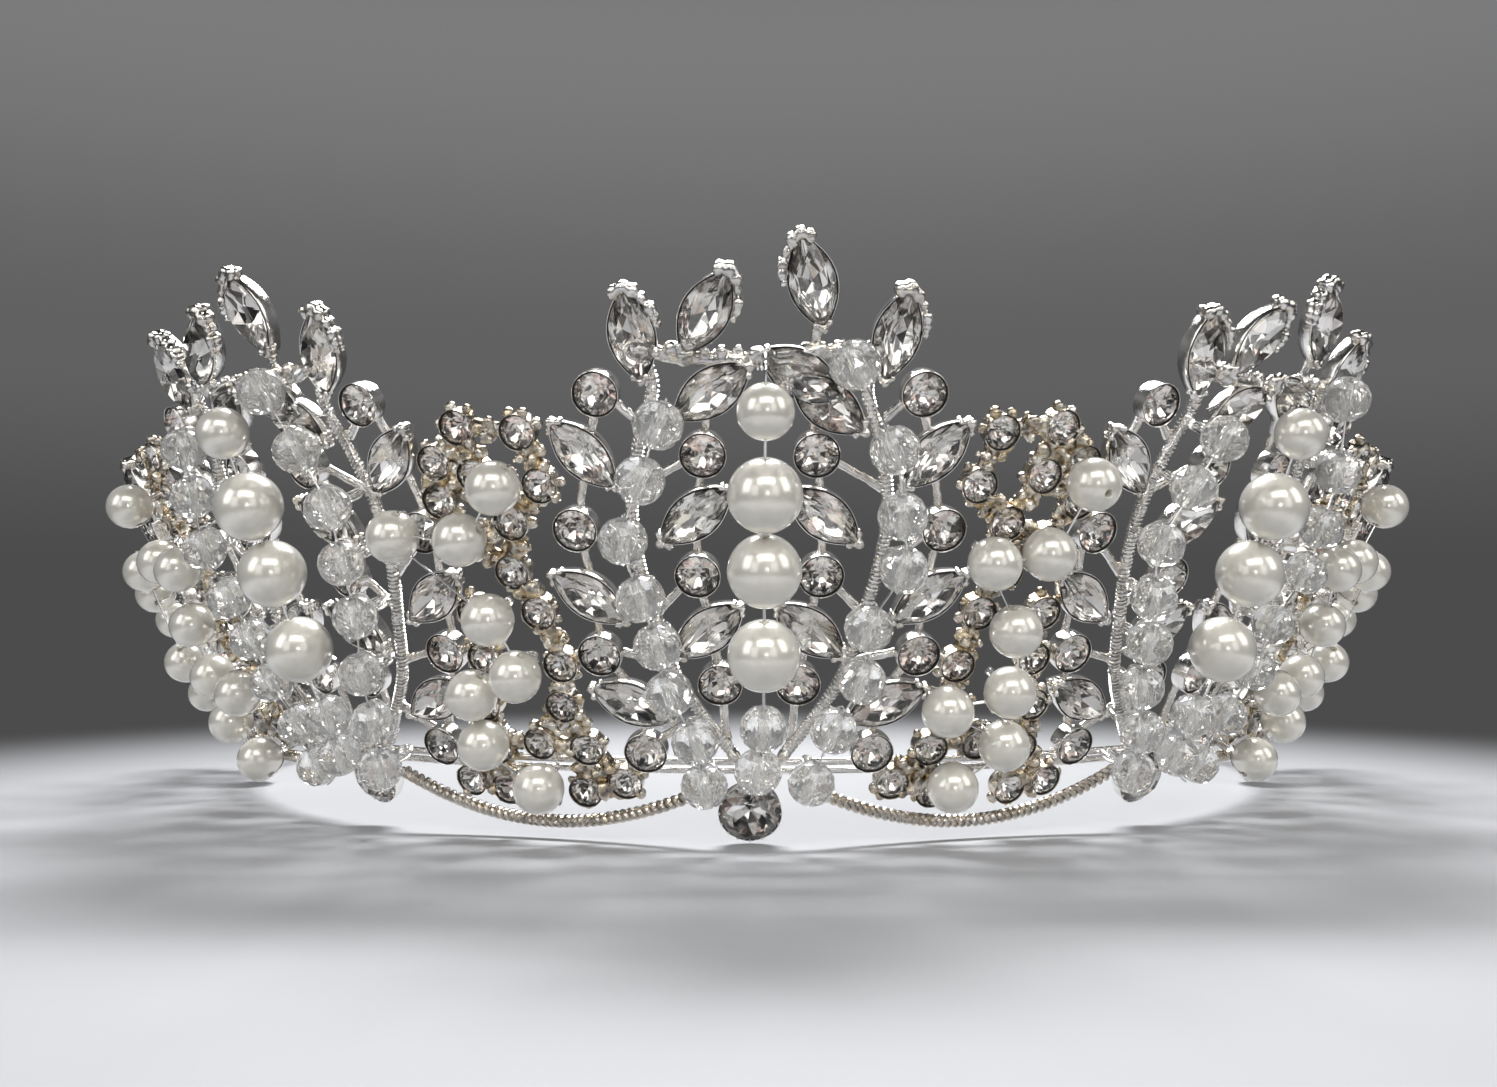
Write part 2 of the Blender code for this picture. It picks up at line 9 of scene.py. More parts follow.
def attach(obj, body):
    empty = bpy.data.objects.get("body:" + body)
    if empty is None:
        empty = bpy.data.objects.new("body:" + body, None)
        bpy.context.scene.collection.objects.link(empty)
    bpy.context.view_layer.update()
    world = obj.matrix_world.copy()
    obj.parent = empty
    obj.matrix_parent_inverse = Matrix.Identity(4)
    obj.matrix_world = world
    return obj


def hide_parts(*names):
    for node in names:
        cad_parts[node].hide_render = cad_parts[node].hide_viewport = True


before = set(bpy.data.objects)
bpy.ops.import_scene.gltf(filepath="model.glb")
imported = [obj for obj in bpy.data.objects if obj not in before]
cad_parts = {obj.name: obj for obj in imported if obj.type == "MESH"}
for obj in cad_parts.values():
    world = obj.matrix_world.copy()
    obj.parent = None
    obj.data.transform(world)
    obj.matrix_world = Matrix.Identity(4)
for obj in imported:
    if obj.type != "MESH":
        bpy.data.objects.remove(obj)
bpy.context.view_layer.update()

MM = 0.001
random.seed(7)

# Band: s runs along the base arc, v up the lean and w out in front, all in millimetres
BASE_RADIUS = 80.0
LEAN = math.radians(23.5)
BASE_HEIGHT = 2.5
AXIS_DEPTH = 51.2
PITCH = 50.0

# Stones and beads
CUP_RADIUS = 2.55
LATTICE_CUP = 2.08
GIRDLE_DEPTH = 0.98         # w of a stone's widest part, in the main motifs
CUP_STONE = (2.30, GIRDLE_DEPTH, 0.85, 1.66)    # radius, w, crown height and pavilion depth
LATTICE_STONE = (1.84, 0.95, 0.70, 1.34)
NAVETTE_LENGTH = 10.7
NAVETTE_WIDTH = 5.4
BEAD_RADIUS = 2.75
BEAD_FRONT = 4.6
SMALL_PEARL = 3.0
LARGE_PEARL = 4.0
PEARL_COLUMN = 0.4
PEARL_FRONT = 5.8
COLUMN_BEAD_FRONT = BEAD_FRONT + 0.5
COLUMN_BORE = 0.45
WIRE = 0.13                 # radius of the binding wire
WINDING_PITCH = 0.5
WINDING_RADIUS = 0.64
MAIN_STEM_DEPTH = -0.3      # w of the two long stems of a motif
BACK_STEM_DEPTH = -1.1      # w of the stems that run behind the stones
VOXEL = 0.2                 # grain of the cast metal's mesh

# Band wires, ropes and end plates
BAND_HALF_LENGTH = 123.8
BAND_WIRES = (("lower", 6.0), ("upper", 7.2))               # name and v
BAND_WIRE_RADIUS = 0.45
BAND_WIRE_DEPTH = -1.7
ROPES = (("far_left", -1.5, 5.2, 1.4), ("left", -0.5, -0.3, 5.4),
         ("right", 0.5, -0.3, 5.4), ("far_right", 1.5, 5.2, 1.4))    # module, lowest v, rise
ROPE_HALF_LENGTH = 20.6
ROPE_PITCH = 1.8
ROPE_STRAND = 0.44
ROPE_TWIST = 0.40           # from the rope's axis to that of a strand

# Main motif: stones mirrored about its middle, then the crest, which isn't
MOTIF_CUPS = ((13.7, 52.7), (4.9, 45.8), (17.0, 37.4), (5.8, 31.9), (16.2, 22.2), (4.0, 18.6),
              (12.4, 9.7))
MOTIF_NAVETTES = ((5.8, 38.9, -38), (5.0, 25.2, -39), (15.4, 46.0, 49), (16.5, 29.3, 36),
                  (13.4, 16.0, 25))
MOTIF_STEMS = (
    ((2.8, 9.0), (5.4, 13.0), (8.6, 19.0), (10.2, 26.0), (11.5, 33.0), (11.7, 40.0),
     (10.5, 47.0), (9.0, 53.0), (9.9, 57.6)),
    ((12.4, 9.7), (13.4, 16.0), (16.2, 22.2), (16.5, 29.3), (17.0, 37.4), (15.4, 46.0),
     (13.7, 52.7)),
    ((4.0, 18.6), (5.0, 25.2), (5.8, 31.9), (5.8, 38.9), (4.9, 45.8), (4.4, 52.4), (3.6, 56.3)),
    ((4.0, 18.6), (3.6, 10.3)),
    ((5.8, 31.9), (10.3, 26.7)),
    ((4.9, 45.8), (11.5, 41.4)),
    ((17.0, 37.4), (11.2, 31.6)),
    ((12.4, 9.7), (6.0, 13.9)),
    ((13.7, 52.7), (10.2, 48.6)),
    ((16.2, 22.2), (9.0, 20.4)),
)
CREST_STONES = ((-4.0, 52.7, 35), (3.3, 54.6, -29), (5.7, 51.3, -36))
CREST_BAR = ((-9.9, 57.4), (-6.2, 56.2), (0.2, 56.0), (3.6, 56.6), (9.9, 57.2))
CREST_STEMS = (((4.4, 56.9), (4.6, 60.4)), ((-6.3, 56.2), (-5.8, 58.0)))
CREST_NAVETTES = ((-10.2, 58.8, 97), (-4.3, 61.1, 60), (4.0, 64.2, 106), (10.9, 58.8, 79))
CENTRE_FOOT = (((-2.8, 9.0), (-1.6, 7.5), (1.6, 7.5), (2.8, 9.0)), ((-1.0, 7.5), (-1.0, 6.2)))
SIDE_FOOT = (((-2.8, 9.0), (0.0, 10.0), (2.8, 9.0)), ((0.0, 10.0), (0.0, 8.9)))
COLUMN_PEARLS = ((52.0, SMALL_PEARL), (43.0, LARGE_PEARL), (34.5, LARGE_PEARL),
                 (24.6, LARGE_PEARL))
COLUMN_BEADS = ((0.4, 15.3), (-0.1, 9.8))
VINE_LEFT = ((-5.7, 7.6), (-6.4, 13.3), (-8.7, 19.3), (-9.5, 25.1), (-10.7, 30.8), (-11.8, 37.5),
             (-9.9, 44.3), (-8.1, 50.3))
VINE_RIGHT = ((5.4, 8.0), (7.4, 14.7), (9.8, 20.9), (10.0, 27.3), (12.7, 34.2), (12.1, 40.3),
              (10.9, 47.6), (7.2, 56.6))
VINE_RIGHT_CLOSE = ((5.4, 8.0), (6.6, 14.5), (7.2, 21.0), (8.9, 28.5), (9.2, 35.2), (9.6, 42.0),
                    (8.0, 49.0), (6.0, 56.0))

# Lattice, as it stands left of the centre motif
LATTICE_STONES = ((-1.8, 49.5), (3.9, 48.7), (-4.8, 45.6), (-1.0, 43.9), (5.2, 42.6), (-5.2, 41.0),
                  (1.8, 38.3), (-2.9, 36.2), (1.0, 32.4), (3.0, 27.4), (-4.2, 27.4), (4.4, 20.8),
                  (-4.2, 21.6), (3.9, 15.6), (-5.4, 15.6), (0.4, 10.6), (5.9, 10.0), (-5.2, 9.8),
                  (9.9, 5.6), (5.0, 4.3), (-4.9, 4.3), (-9.6, 5.2))
LATTICE_LINK = 7.3          # stones nearer to each other than this are joined
FAR_LATTICE_FOOT = 8.0      # a far lattice has only the stones above this
LATTICE_PEARLS_LEFT = ((2.2, 43.7), (-2.0, 37.8), (-8.9, 38.3), (-0.8, 28.2), (0.9, 21.2),
                       (-4.4, 18.7), (-4.4, 12.2), (1.1, 6.7))
LATTICE_PEARLS_RIGHT = ((4.2, 44.3), (1.3, 36.1), (-3.9, 34.9), (-0.5, 26.8), (0.2, 19.2),
                        (-6.1, 16.9), (0.8, 12.3), (-4.2, 7.0))

# End piece, as it stands at the wearer's left
END_CUPS = ((-13.0, 12.4), (-13.4, 24.0), (-12.6, 35.5), (-4.2, 17.0), (-3.8, 29.0), (4.0, 12.0),
            (4.3, 23.5), (12.0, 16.0), (19.4, 12.2))
END_NAVETTES = ((-11.6, 45.2, 86), (-3.4, 41.0, 80), (4.8, 36.0, 72), (12.8, 29.8, 66),
                (20.2, 23.0, 60))
END_STEMS = (
    ((-13.2, 8.2), (-4.4, 7.9), (4.2, 8.0), (12.1, 8.1), (19.6, 8.6)),
    ((-12.9, 8.0), (-13.0, 12.4), (-13.4, 24.0), (-12.6, 35.5), (-11.8, 42.0)),
    ((-4.0, 8.0), (-4.2, 17.0), (-3.8, 29.0), (-3.5, 38.0)),
    ((3.9, 8.1), (4.0, 12.0), (4.3, 23.5), (4.6, 33.0)),
    ((11.9, 8.2), (12.0, 16.0), (12.6, 26.8)),
    ((19.3, 8.5), (19.4, 12.2), (20.0, 20.0)),
    ((-12.8, 13.1), (-4.4, 16.6), (3.8, 12.5), (12.2, 15.6), (19.2, 12.7)),
    ((-13.2, 24.6), (-4.0, 28.5), (4.1, 23.9), (11.8, 16.8)),
)
END_STRAND = ((-8.2, 35.0), (-8.6, 20.5), (0.2, 19.8), (0.4, 31.5), (8.4, 27.0), (8.0, 14.2),
              (15.8, 20.4), (23.0, 17.2))

# Drop stones and end tabs
DROP_HEIGHTS = {-2: 2.03, -1: 4.76, 0: 2.03, 1: 4.76, 2: 2.03}      # v by module
DROP_STONE = (3.56, 1.40, 1.25, 2.05)           # radius, w, crown height and pavilion depth
DROP_RIM = 3.62
TAB_START = 124.2
TAB_HALF_LENGTH = 4.5
TAB_HALF_WIDTH = 3.2
TAB_HEIGHT = 6.6
TAB_DEPTH = -1.65
TAB_REACH = 82.6            # from the head's upright axis to a tab
TAB_HOLE_PLACE = 1.6        # from the tab's middle towards its free end


# ---------------------------------------------------------------- places on the band

def band_point(s, v, w=0.0):
    """Point of the leaning band in millimetres, measured from the head's upright axis."""
    reach = BASE_RADIUS + v * math.sin(LEAN) + w * math.cos(LEAN)
    height = BASE_HEIGHT + v * math.cos(LEAN) - w * math.sin(LEAN)
    angle = s / BASE_RADIUS
    return Vector((reach * math.sin(angle), -reach * math.cos(angle), height))


def band_axes(s):
    """Columns run along the band, up its lean and out of its front."""
    angle = s / BASE_RADIUS
    side = Vector((math.cos(angle), math.sin(angle), 0.0))
    outward = Vector((math.sin(angle), -math.cos(angle), 0.0))
    rise = outward * math.sin(LEAN) + Vector((0.0, 0.0, math.cos(LEAN)))
    return Matrix((side, rise, side.cross(rise))).transposed()


def seat(s, v, turn=0.0, w=0.0):
    """Matrix that lays a shape on the band, turned by some degrees."""
    spin = Matrix.Rotation(math.radians(turn), 4, "Z")
    return Matrix.Translation(band_point(s, v, w)) @ band_axes(s).to_4x4() @ spin


def mirrored(places):
    return [(-place[0], place[1], *[180 - turn for turn in place[2:]]) for place in places]


def smooth_path(points, steps):
    """Catmull-Rom curve through points, with some steps between each pair."""
    if len(points) < 3:
        return [points[0].lerp(points[-1], i / (2 * steps)) for i in range(2 * steps + 1)]
    padded = [points[0] * 2 - points[1], *points, points[-1] * 2 - points[-2]]
    path = []
    for i in range(1, len(padded) - 2):
        a, b, c, d = padded[i - 1:i + 3]
        for k in range(steps):
            t = k / steps
            path.append(0.5 * (2 * b + (c - a) * t + (2 * a - 5 * b + 4 * c - d) * t * t
                               + (3 * b - a - 3 * c + d) * t ** 3))
    path.append(points[-1].copy())
    return path


# ---------------------------------------------------------------- mesh helpers

def add_tube(bm, points, radius, sides):
    """Tube along points; radius is a number, or a function of the share of the way along."""
    last = len(points) - 1
    reference = Vector((0.31, 0.17, 0.93))
    loops = []
    for i, point in enumerate(points):
        direction = (points[min(i + 1, last)] - points[max(i - 1, 0)]).normalized()
        reference = (reference - direction * reference.dot(direction)).normalized()
        across = direction.cross(reference)
        r = radius(i / last) if callable(radius) else radius
        loops.append([bm.verts.new(point + (reference * math.cos(a) + across * math.sin(a)) * r)
                      for a in (2 * math.pi * k / sides for k in range(sides))])
    bm.faces.new(loops[0][::-1])
    bm.faces.new(loops[-1])
    for low, high in zip(loops, loops[1:]):
        for k in range(sides):
            j = (k + 1) % sides
            bm.faces.new((low[k], low[j], high[j], high[k]))


def add_turned(bm, profile, matrix, sides, mat=0, shape=None):
    """Turned shape from (radius, height) pairs; a zero radius closes it on the axis."""
    loops = []
    for radius, height in profile:
        if radius == 0:
            loops.append([bm.verts.new(matrix @ Vector((0, 0, height)))])
            continue
        ring = []
        for k in range(sides):
            a = 2 * math.pi * k / sides
            x, y = shape(a, radius) if shape else (radius * math.cos(a), radius * math.sin(a))
            ring.append(bm.verts.new(matrix @ Vector((x, y, height))))
        loops.append(ring)
    if len(loops[0]) > 1:
        loops.append(loops[0])
    for low, high in zip(loops, loops[1:]):
        for k in range(sides):
            j = (k + 1) % sides
            if len(low) == 1:
                bm.faces.new((low[0], high[j], high[k])).material_index = mat
            elif len(high) == 1:
                bm.faces.new((low[k], low[j], high[0])).material_index = mat
            else:
                bm.faces.new((low[k], low[j], high[j], high[k])).material_index = mat


def add_nub(bm, centre, radius, stretch=(1.0, 1.0, 1.0), matrix=None, detail=2):
    """Rounded lump of cast metal."""
    base = matrix if matrix else Matrix.Identity(4)
    place = base @ Matrix.Translation(centre) @ Matrix.Diagonal((*stretch, 1.0))
    bmesh.ops.create_icosphere(bm, subdivisions=detail, radius=radius, matrix=place)


def to_mesh(name, bm):
    bmesh.ops.recalc_face_normals(bm, faces=bm.faces)
    bmesh.ops.scale(bm, vec=(MM, MM, MM), verts=bm.verts)
    mesh = bpy.data.meshes.new(name)
    bm.to_mesh(mesh)
    bm.free()
    return mesh


def cast_mesh(name, bm, lump=0.07):
    """Overlapping shells run together like poured metal, with a lumpy skin."""
    mesh = bpy.data.meshes.new(name + "_raw")
    bm.to_mesh(mesh)
    bm.free()
    raw = bpy.data.objects.new(name + "_raw", mesh)
    bpy.context.scene.collection.objects.link(raw)
    remesh = raw.modifiers.new("pour", "REMESH")
    remesh.mode = "VOXEL"
    remesh.voxel_size = VOXEL
    ease = raw.modifiers.new("ease", "SMOOTH")
    ease.factor = 0.5
    ease.iterations = 2
    bpy.context.view_layer.update()
    made = bpy.data.meshes.new_from_object(raw.evaluated_get(bpy.context.evaluated_depsgraph_get()))
    bpy.data.objects.remove(raw)
    made.name = name
    for vertex, normal in zip(made.vertices, [n.vector.copy() for n in made.vertex_normals]):
        p = vertex.co
        swell = noise.noise(p * 0.9) + 0.6 * noise.noise(p * 2.3) + 0.35 * noise.noise(p * 4.5)
        vertex.co = (p + normal * swell * lump) * MM
    return made


def add_piece(name, mesh, materials, body="band", module=0.0, replaces=(), slot=None, smooth=True):
    """Piece in place on the arc, riding on its body."""
    turn = Matrix.Rotation(module / BASE_RADIUS, 4, "Z")
    mesh.transform(Matrix.Translation((0.0, AXIS_DEPTH * MM, 0.0)) @ turn)
    piece = bpy.data.objects.new(name, mesh)
    bpy.context.scene.collection.objects.link(piece)
    for item in materials:
        mesh.materials.append(item)
    if smooth:
        mesh.shade_smooth()
        mesh.set_sharp_from_angle(angle=math.radians(42))
    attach(piece, body)
    if replaces:
        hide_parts(*replaces)


# ---------------------------------------------------------------- materials

class Nodes:
    """Short way to build a Principled material's nodes."""

    def __init__(self, name):
        self.material = bpy.data.materials.new(name)
        self.material.use_nodes = True
        self.tree = self.material.node_tree
        self.shader = self.tree.nodes["Principled BSDF"]
        self.coords = self.tree.nodes.new("ShaderNodeTexCoord").outputs["Object"]

    def set(self, **values):
        for key, value in values.items():
            self.shader.inputs[key.replace("_", " ")].default_value = value
        return self

    def noise(self, scale, detail=3.0, roughness=0.55):
        node = self.tree.nodes.new("ShaderNodeTexNoise")
        node.inputs["Scale"].default_value = scale
        node.inputs["Detail"].default_value = detail
        node.inputs["Roughness"].default_value = roughness
        self.tree.links.new(self.coords, node.inputs["Vector"])
        return node.outputs["Fac"]

    def ramp(self, source, stops):
        node = self.tree.nodes.new("ShaderNodeValToRGB")
        ramp = node.color_ramp
        while len(ramp.elements) < len(stops):
            ramp.elements.new(0.5)
        for element, (place, colour) in zip(ramp.elements, stops):
            element.position = place
            element.color = (*colour, 1.0)
        self.tree.links.new(source, node.inputs["Fac"])
        return node.outputs["Color"]

    def grey_ramp(self, source, stops):
        return self.ramp(source, [(place, (level,) * 3) for place, level in stops])

    def mix(self, factor, first, second, blend="MIX"):
        node = self.tree.nodes.new("ShaderNodeMix")
        node.data_type = "RGBA"
        node.blend_type = blend
        inputs = [node.inputs[0], node.inputs[6], node.inputs[7]]
        for value, socket in zip((factor, first, second), inputs):
            if isinstance(value, bpy.types.NodeSocket):
                self.tree.links.new(value, socket)
            elif isinstance(value, tuple):
                socket.default_value = (*value, 1.0)
            else:
                socket.default_value = value
        return node.outputs[2]

    def attribute(self, name):
        node = self.tree.nodes.new("ShaderNodeAttribute")
        node.attribute_name = name
        return node.outputs["Color"]

    def pointiness(self):
        return self.tree.nodes.new("ShaderNodeNewGeometry").outputs["Pointiness"]

    def link(self, source, key):
        self.tree.links.new(source, self.shader.inputs[key])

    def bump(self, source, strength, distance):
        node = self.tree.nodes.new("ShaderNodeBump")
        node.inputs["Strength"].default_value = strength
        node.inputs["Distance"].default_value = distance
        self.tree.links.new(source, node.inputs["Height"])
        self.tree.links.new(node.outputs["Normal"], self.shader.inputs["Normal"])


def silver_material(name, tarnish_and_shade_amount, base=(0.94, 0.93, 0.91), rough=(0.06, 0.28), grain=0.5):
    """Silver plate: clean on edges, darker in hollows from tarnish and from painted shade, warm
    brown tarnish in patches, pitted casting skin.
    """
    n = Nodes(name).set(Metallic=1.0)
    patches = n.grey_ramp(n.noise(420.0, 4.0), [(0.36, 0.0), (0.56, 1.0)])
    # Tarnish and painted shade: the colour darkens in hollows, where pointiness is low
    hollow_tarnish_and_shade = n.grey_ramp(n.pointiness(), [(0.46, 1.0), (0.53, 0.0)])
    tarnish_and_shade = n.mix(0.65, hollow_tarnish_and_shade, patches, "LIGHTEN")
    tarnish_and_shade = n.mix(tarnish_and_shade_amount, (0.0, 0.0, 0.0), tarnish_and_shade)
    brown = n.ramp(n.noise(900.0), [(0.38, (0.62, 0.46, 0.22)), (0.50, (0.26, 0.19, 0.11)),
                                    (0.60, (0.05, 0.04, 0.03))])
    n.link(n.mix(tarnish_and_shade, base, brown), "Base Color")
    n.link(n.grey_ramp(n.noise(1500.0, 5.0), [(0.3, rough[0]), (0.75, rough[1])]), "Roughness")
    n.bump(n.noise(2600.0, 4.0, 0.65), grain, 0.00012)
    return n.material


def wire_material(name, colour, roughness):
    """Drawn wire with a faintly uneven skin."""
    n = Nodes(name).set(Metallic=1.0)
    n.link(n.mix(n.noise(700.0), colour, tuple(c * 0.86 for c in colour)), "Base Color")
    n.link(n.grey_ramp(n.noise(2200.0, 4.0), [(0.3, roughness), (0.8, roughness + 0.18)]),
           "Roughness")
    n.bump(n.noise(4200.0, 2.0), 0.15, 0.00004)
    return n.material


def pearl_material(name, body, sheen_colour):
    """Imitation pearl: ivory lacquer under a clear coat, faintly uneven, with a painted sheen
    lightening it towards its outline.
    """
    n = Nodes(name).set(Metallic=0.35, Roughness=0.27, Coat_Weight=1.0, Coat_Roughness=0.06,
                        Coat_IOR=1.7, IOR=1.6)
    # Painted sheen: the colour turns lighter where the surface turns away from the camera
    facing = n.tree.nodes.new("ShaderNodeLayerWeight")
    facing.inputs["Blend"].default_value = 0.35
    painted_sheen_mask = n.grey_ramp(facing.outputs["Facing"], [(0.0, 0.0), (0.85, 1.0)])
    clouded = n.mix(n.noise(380.0), body, tuple(c * 0.93 for c in body))
    n.link(n.mix(painted_sheen_mask, clouded, sheen_colour), "Base Color")
    n.bump(n.noise(1400.0, 2.0), 0.04, 0.00005)
    return n.material


def bead_material(name):
    """Pressed glass: clear with a little milk, its polish slightly scuffed."""
    n = Nodes(name).set(Metallic=0.0, IOR=1.54)
    milk = n.grey_ramp(n.noise(900.0, 4.0), [(0.35, 0.93), (0.75, 0.68)])
    n.link(milk, "Transmission Weight")
    n.link(n.mix(n.noise(260.0), (1.0, 1.0, 0.985), (0.98, 0.975, 0.955)), "Base Color")
    n.link(n.grey_ramp(n.noise(1800.0, 3.0), [(0.35, 0.01), (0.8, 0.09)]), "Roughness")
    return n.material


def stone_material(name):
    """Cut crystal, with a trace of wiping marks in its polish."""
    n = Nodes(name).set(Metallic=0.0, IOR=1.56, Transmission_Weight=1.0)
    n.link(n.mix(n.noise(300.0), (1.0, 1.0, 1.0), (0.98, 0.975, 0.975)), "Base Color")
    n.link(n.grey_ramp(n.noise(1500.0, 3.0), [(0.5, 0.0), (0.9, 0.03)]), "Roughness")
    return n.material


def foil_material(name):
    """Mirror foil behind a stone, each facet painted with its own reflection colour, some
    near-black, some pale.
    """
    n = Nodes(name).set(Metallic=0.94)
    facet_reflection = n.attribute("facet_reflection")
    aged = n.mix(n.noise(800.0), facet_reflection, (0.88, 0.85, 0.84))
    n.link(n.mix(0.12, facet_reflection, aged), "Base Color")
    n.link(n.grey_ramp(n.noise(2000.0), [(0.3, 0.05), (0.8, 0.16)]), "Roughness")
    return n.material


def gap_shade_material(name):
    """Painted shade: a near-black ring in the narrow gap between a stone and its cup."""
    n = Nodes(name).set(Metallic=0.0, IOR=1.3)
    n.link(n.mix(n.noise(900.0), (0.006, 0.006, 0.007), (0.03, 0.024, 0.02)), "Base Color")
    n.link(n.grey_ramp(n.noise(1500.0), [(0.3, 0.35), (0.8, 0.6)]), "Roughness")
    return n.material


SILVER = silver_material("cast_silver", 0.45)
TARNISHED = silver_material("tarnished_silver", 1.0, (0.92, 0.88, 0.80), (0.07, 0.30), 0.7)
SETTING = silver_material("setting_silver", 0.30, rough=(0.08, 0.26), grain=0.3)
# Rope: darker base colour all over, standing in for tarnish and painted shade in its twists
ROPE_SILVER = silver_material("rope_silver", 0.40, (0.62, 0.58, 0.53), (0.14, 0.34), 0.2)
WIRE_SILVER = wire_material("wire_silver", (0.92, 0.91, 0.89), 0.12)
BAND_SILVER = wire_material("band_silver", (0.90, 0.88, 0.86), 0.16)
# Pearl: body colour, then the lighter colour of its painted sheen at the outline
PEARL = pearl_material("pearl_lacquer", (0.80, 0.77, 0.69), (0.93, 0.91, 0.85))
BEAD_GLASS = bead_material("bead_glass")
STONE_GLASS = stone_material("stone_glass")
FOIL = foil_material("stone_foil")
GAP_SHADE = gap_shade_material("painted_gap_shade")

# Foil facet colours: painted reflections, the dark ones standing for dark surroundings seen in the
# mirror
BRIGHT_REFLECTION_TINTS = ((1.0, 0.99, 0.96), (0.99, 0.94, 0.90), (1.0, 0.99, 0.97), (0.97, 0.96, 0.92))
DEEP_REFLECTION_TINTS = ((0.05, 0.045, 0.04), (0.64, 0.57, 0.50), (0.15, 0.13, 0.12), (0.92, 0.74, 0.68))


# ---------------------------------------------------------------- stones, beads and pearls

def add_brilliant(bm, matrix, length, width, crown, depth, pointed=False, contrast=1.0):
    """Cut stone: glass crown (material 0) over a mirrored back (material 1), whose facets are
    painted with reflections, some dark and some bright.
    """
    layer = bm.loops.layers.float_color["facet_reflection"]
    half_x, half_y = length / 2, width / 2

    def corner(step, scale, height):
        a = 2 * math.pi * step / 16
        x, y = math.cos(a), math.sin(a)
        if pointed:
            y = math.copysign(y * y, y)
        return bm.verts.new(matrix @ Vector((x * half_x * scale, y * half_y * scale, height)))

    def face(corners, mat, deep_reflection_share=0.3):
        made = bm.faces.new(corners)
        made.material_index = mat
        # Painted reflection: each facet gets a deep or a bright colour at random
        facet_reflection = random.choice(DEEP_REFLECTION_TINTS if random.random() < deep_reflection_share * contrast else BRIGHT_REFLECTION_TINTS)
        for loop in made.loops:
            loop[layer] = (*facet_reflection, 1.0)

    table = [corner(2 * k, 0.58, crown) for k in range(8)]
    middle = [corner(2 * k + 1, 0.82, crown * 0.52) for k in range(8)]
    girdle = [corner(k, 1.0, 0.0) for k in range(16)]
    under = [corner(k, 1.0, -0.12) for k in range(16)]
    back = [corner(2 * k + 1, 0.42, -0.12 - depth * 0.62) for k in range(8)]
    culet = bm.verts.new(matrix @ Vector((0, 0, -0.12 - depth)))
    face(table, 0)
    for k in range(8):
        after = (k + 1) % 8
        left, mid, right = girdle[2 * k], girdle[2 * k + 1], girdle[(2 * k + 2) % 16]
        face((table[k], middle[k], table[after]), 0)
        face((table[k], middle[k - 1], left), 0)
        face((table[k], left, middle[k]), 0)
        face((middle[k], left, mid), 0)
        face((middle[k], mid, right), 0)
        low_left, low_mid, low_right = under[2 * k], under[2 * k + 1], under[(2 * k + 2) % 16]
        face((left, low_left, low_mid, mid), 0)
        face((mid, low_mid, low_right, right), 0)
        # Back facets: painted reflections, their share of deep colours set row by row
        face((back[k], low_mid, low_left), 1, 0.15)
        face((back[k], low_right, low_mid), 1, 0.55)
        face((back[k - 1], back[k], low_left), 1, 0.75 if k % 2 else 0.1)
        face((culet, back[k], back[k - 1]), 1, 0.1 if k % 2 else 0.6)


def stone_bmesh():
    bm = bmesh.new()
    bm.loops.layers.float_color.new("facet_reflection")
    return bm


def add_bead(bm, centre, axis, radius, spin):
    """Faceted glass bead with a drilled hole along its axis."""
    turn = axis.to_track_quat("Z", "Y").to_matrix().to_4x4()
    matrix = Matrix.Translation(centre) @ turn @ Matrix.Rotation(spin, 4, "Z")
    rows = (-0.93, -0.80, -0.56, -0.20, 0.20, 0.56, 0.80, 0.93)
    sides = 14
    loops = []
    for i, height in enumerate(rows):
        r = radius * math.sqrt(1 - height * height) * (1.0 if abs(height) < 0.9 else 0.82)
        shift = 0.5 * (i % 2)
        loops.append([bm.verts.new(matrix @ Vector((
            r * math.cos(2 * math.pi * (k + shift) / sides),
            r * math.sin(2 * math.pi * (k + shift) / sides), radius * 0.96 * height)))
            for k in range(sides)])
    bore = radius * 0.17
    for height in (rows[-1], rows[0]):
        loops.append([bm.verts.new(matrix @ Vector((
            bore * math.cos(2 * math.pi * k / sides), bore * math.sin(2 * math.pi * k / sides),
            radius * 0.90 * height))) for k in range(sides)])
    for i, low in enumerate(loops):
        high = loops[(i + 1) % len(loops)]
        slanted = i < len(rows) - 1
        for k in range(sides):
            j = (k + 1) % sides
            if slanted and i % 2 == 0:
                bm.faces.new((low[k], low[j], high[k]))
                bm.faces.new((low[j], high[j], high[k]))
            elif slanted:
                bm.faces.new((low[k], high[j], high[k]))
                bm.faces.new((low[k], low[j], high[j]))
            else:
                bm.faces.new((low[k], low[j], high[j], high[k]))


def add_pearl(bm, matrix, radius, sides, rows, bore=0.42):
    """Round pearl with a drilled hole and its slightly rounded rim."""
    start = math.asin(bore * 1.25 / radius)
    profile = []
    for k in range(rows + 1):
        a = start + (math.pi - 2 * start) * k / rows
        profile.append((radius * math.sin(a), radius * math.cos(a)))
    depth = radius * math.cos(start) - 0.14
    profile += [(bore, -depth), (bore, 0.0), (bore, depth)]
    add_turned(bm, profile[::-1], matrix, sides)


def strand_axes(centres):
    """Direction of the wire through each bead of a strand."""
    axes = []
    for i, centre in enumerate(centres):
        before = centres[i - 1] if i else centre * 2 - centres[1]
        after = centres[i + 1] if i + 1 < len(centres) else centre * 2 - centres[-2]
        axes.append(((centre - before).normalized() + (after - centre).normalized()).normalized())
    return axes


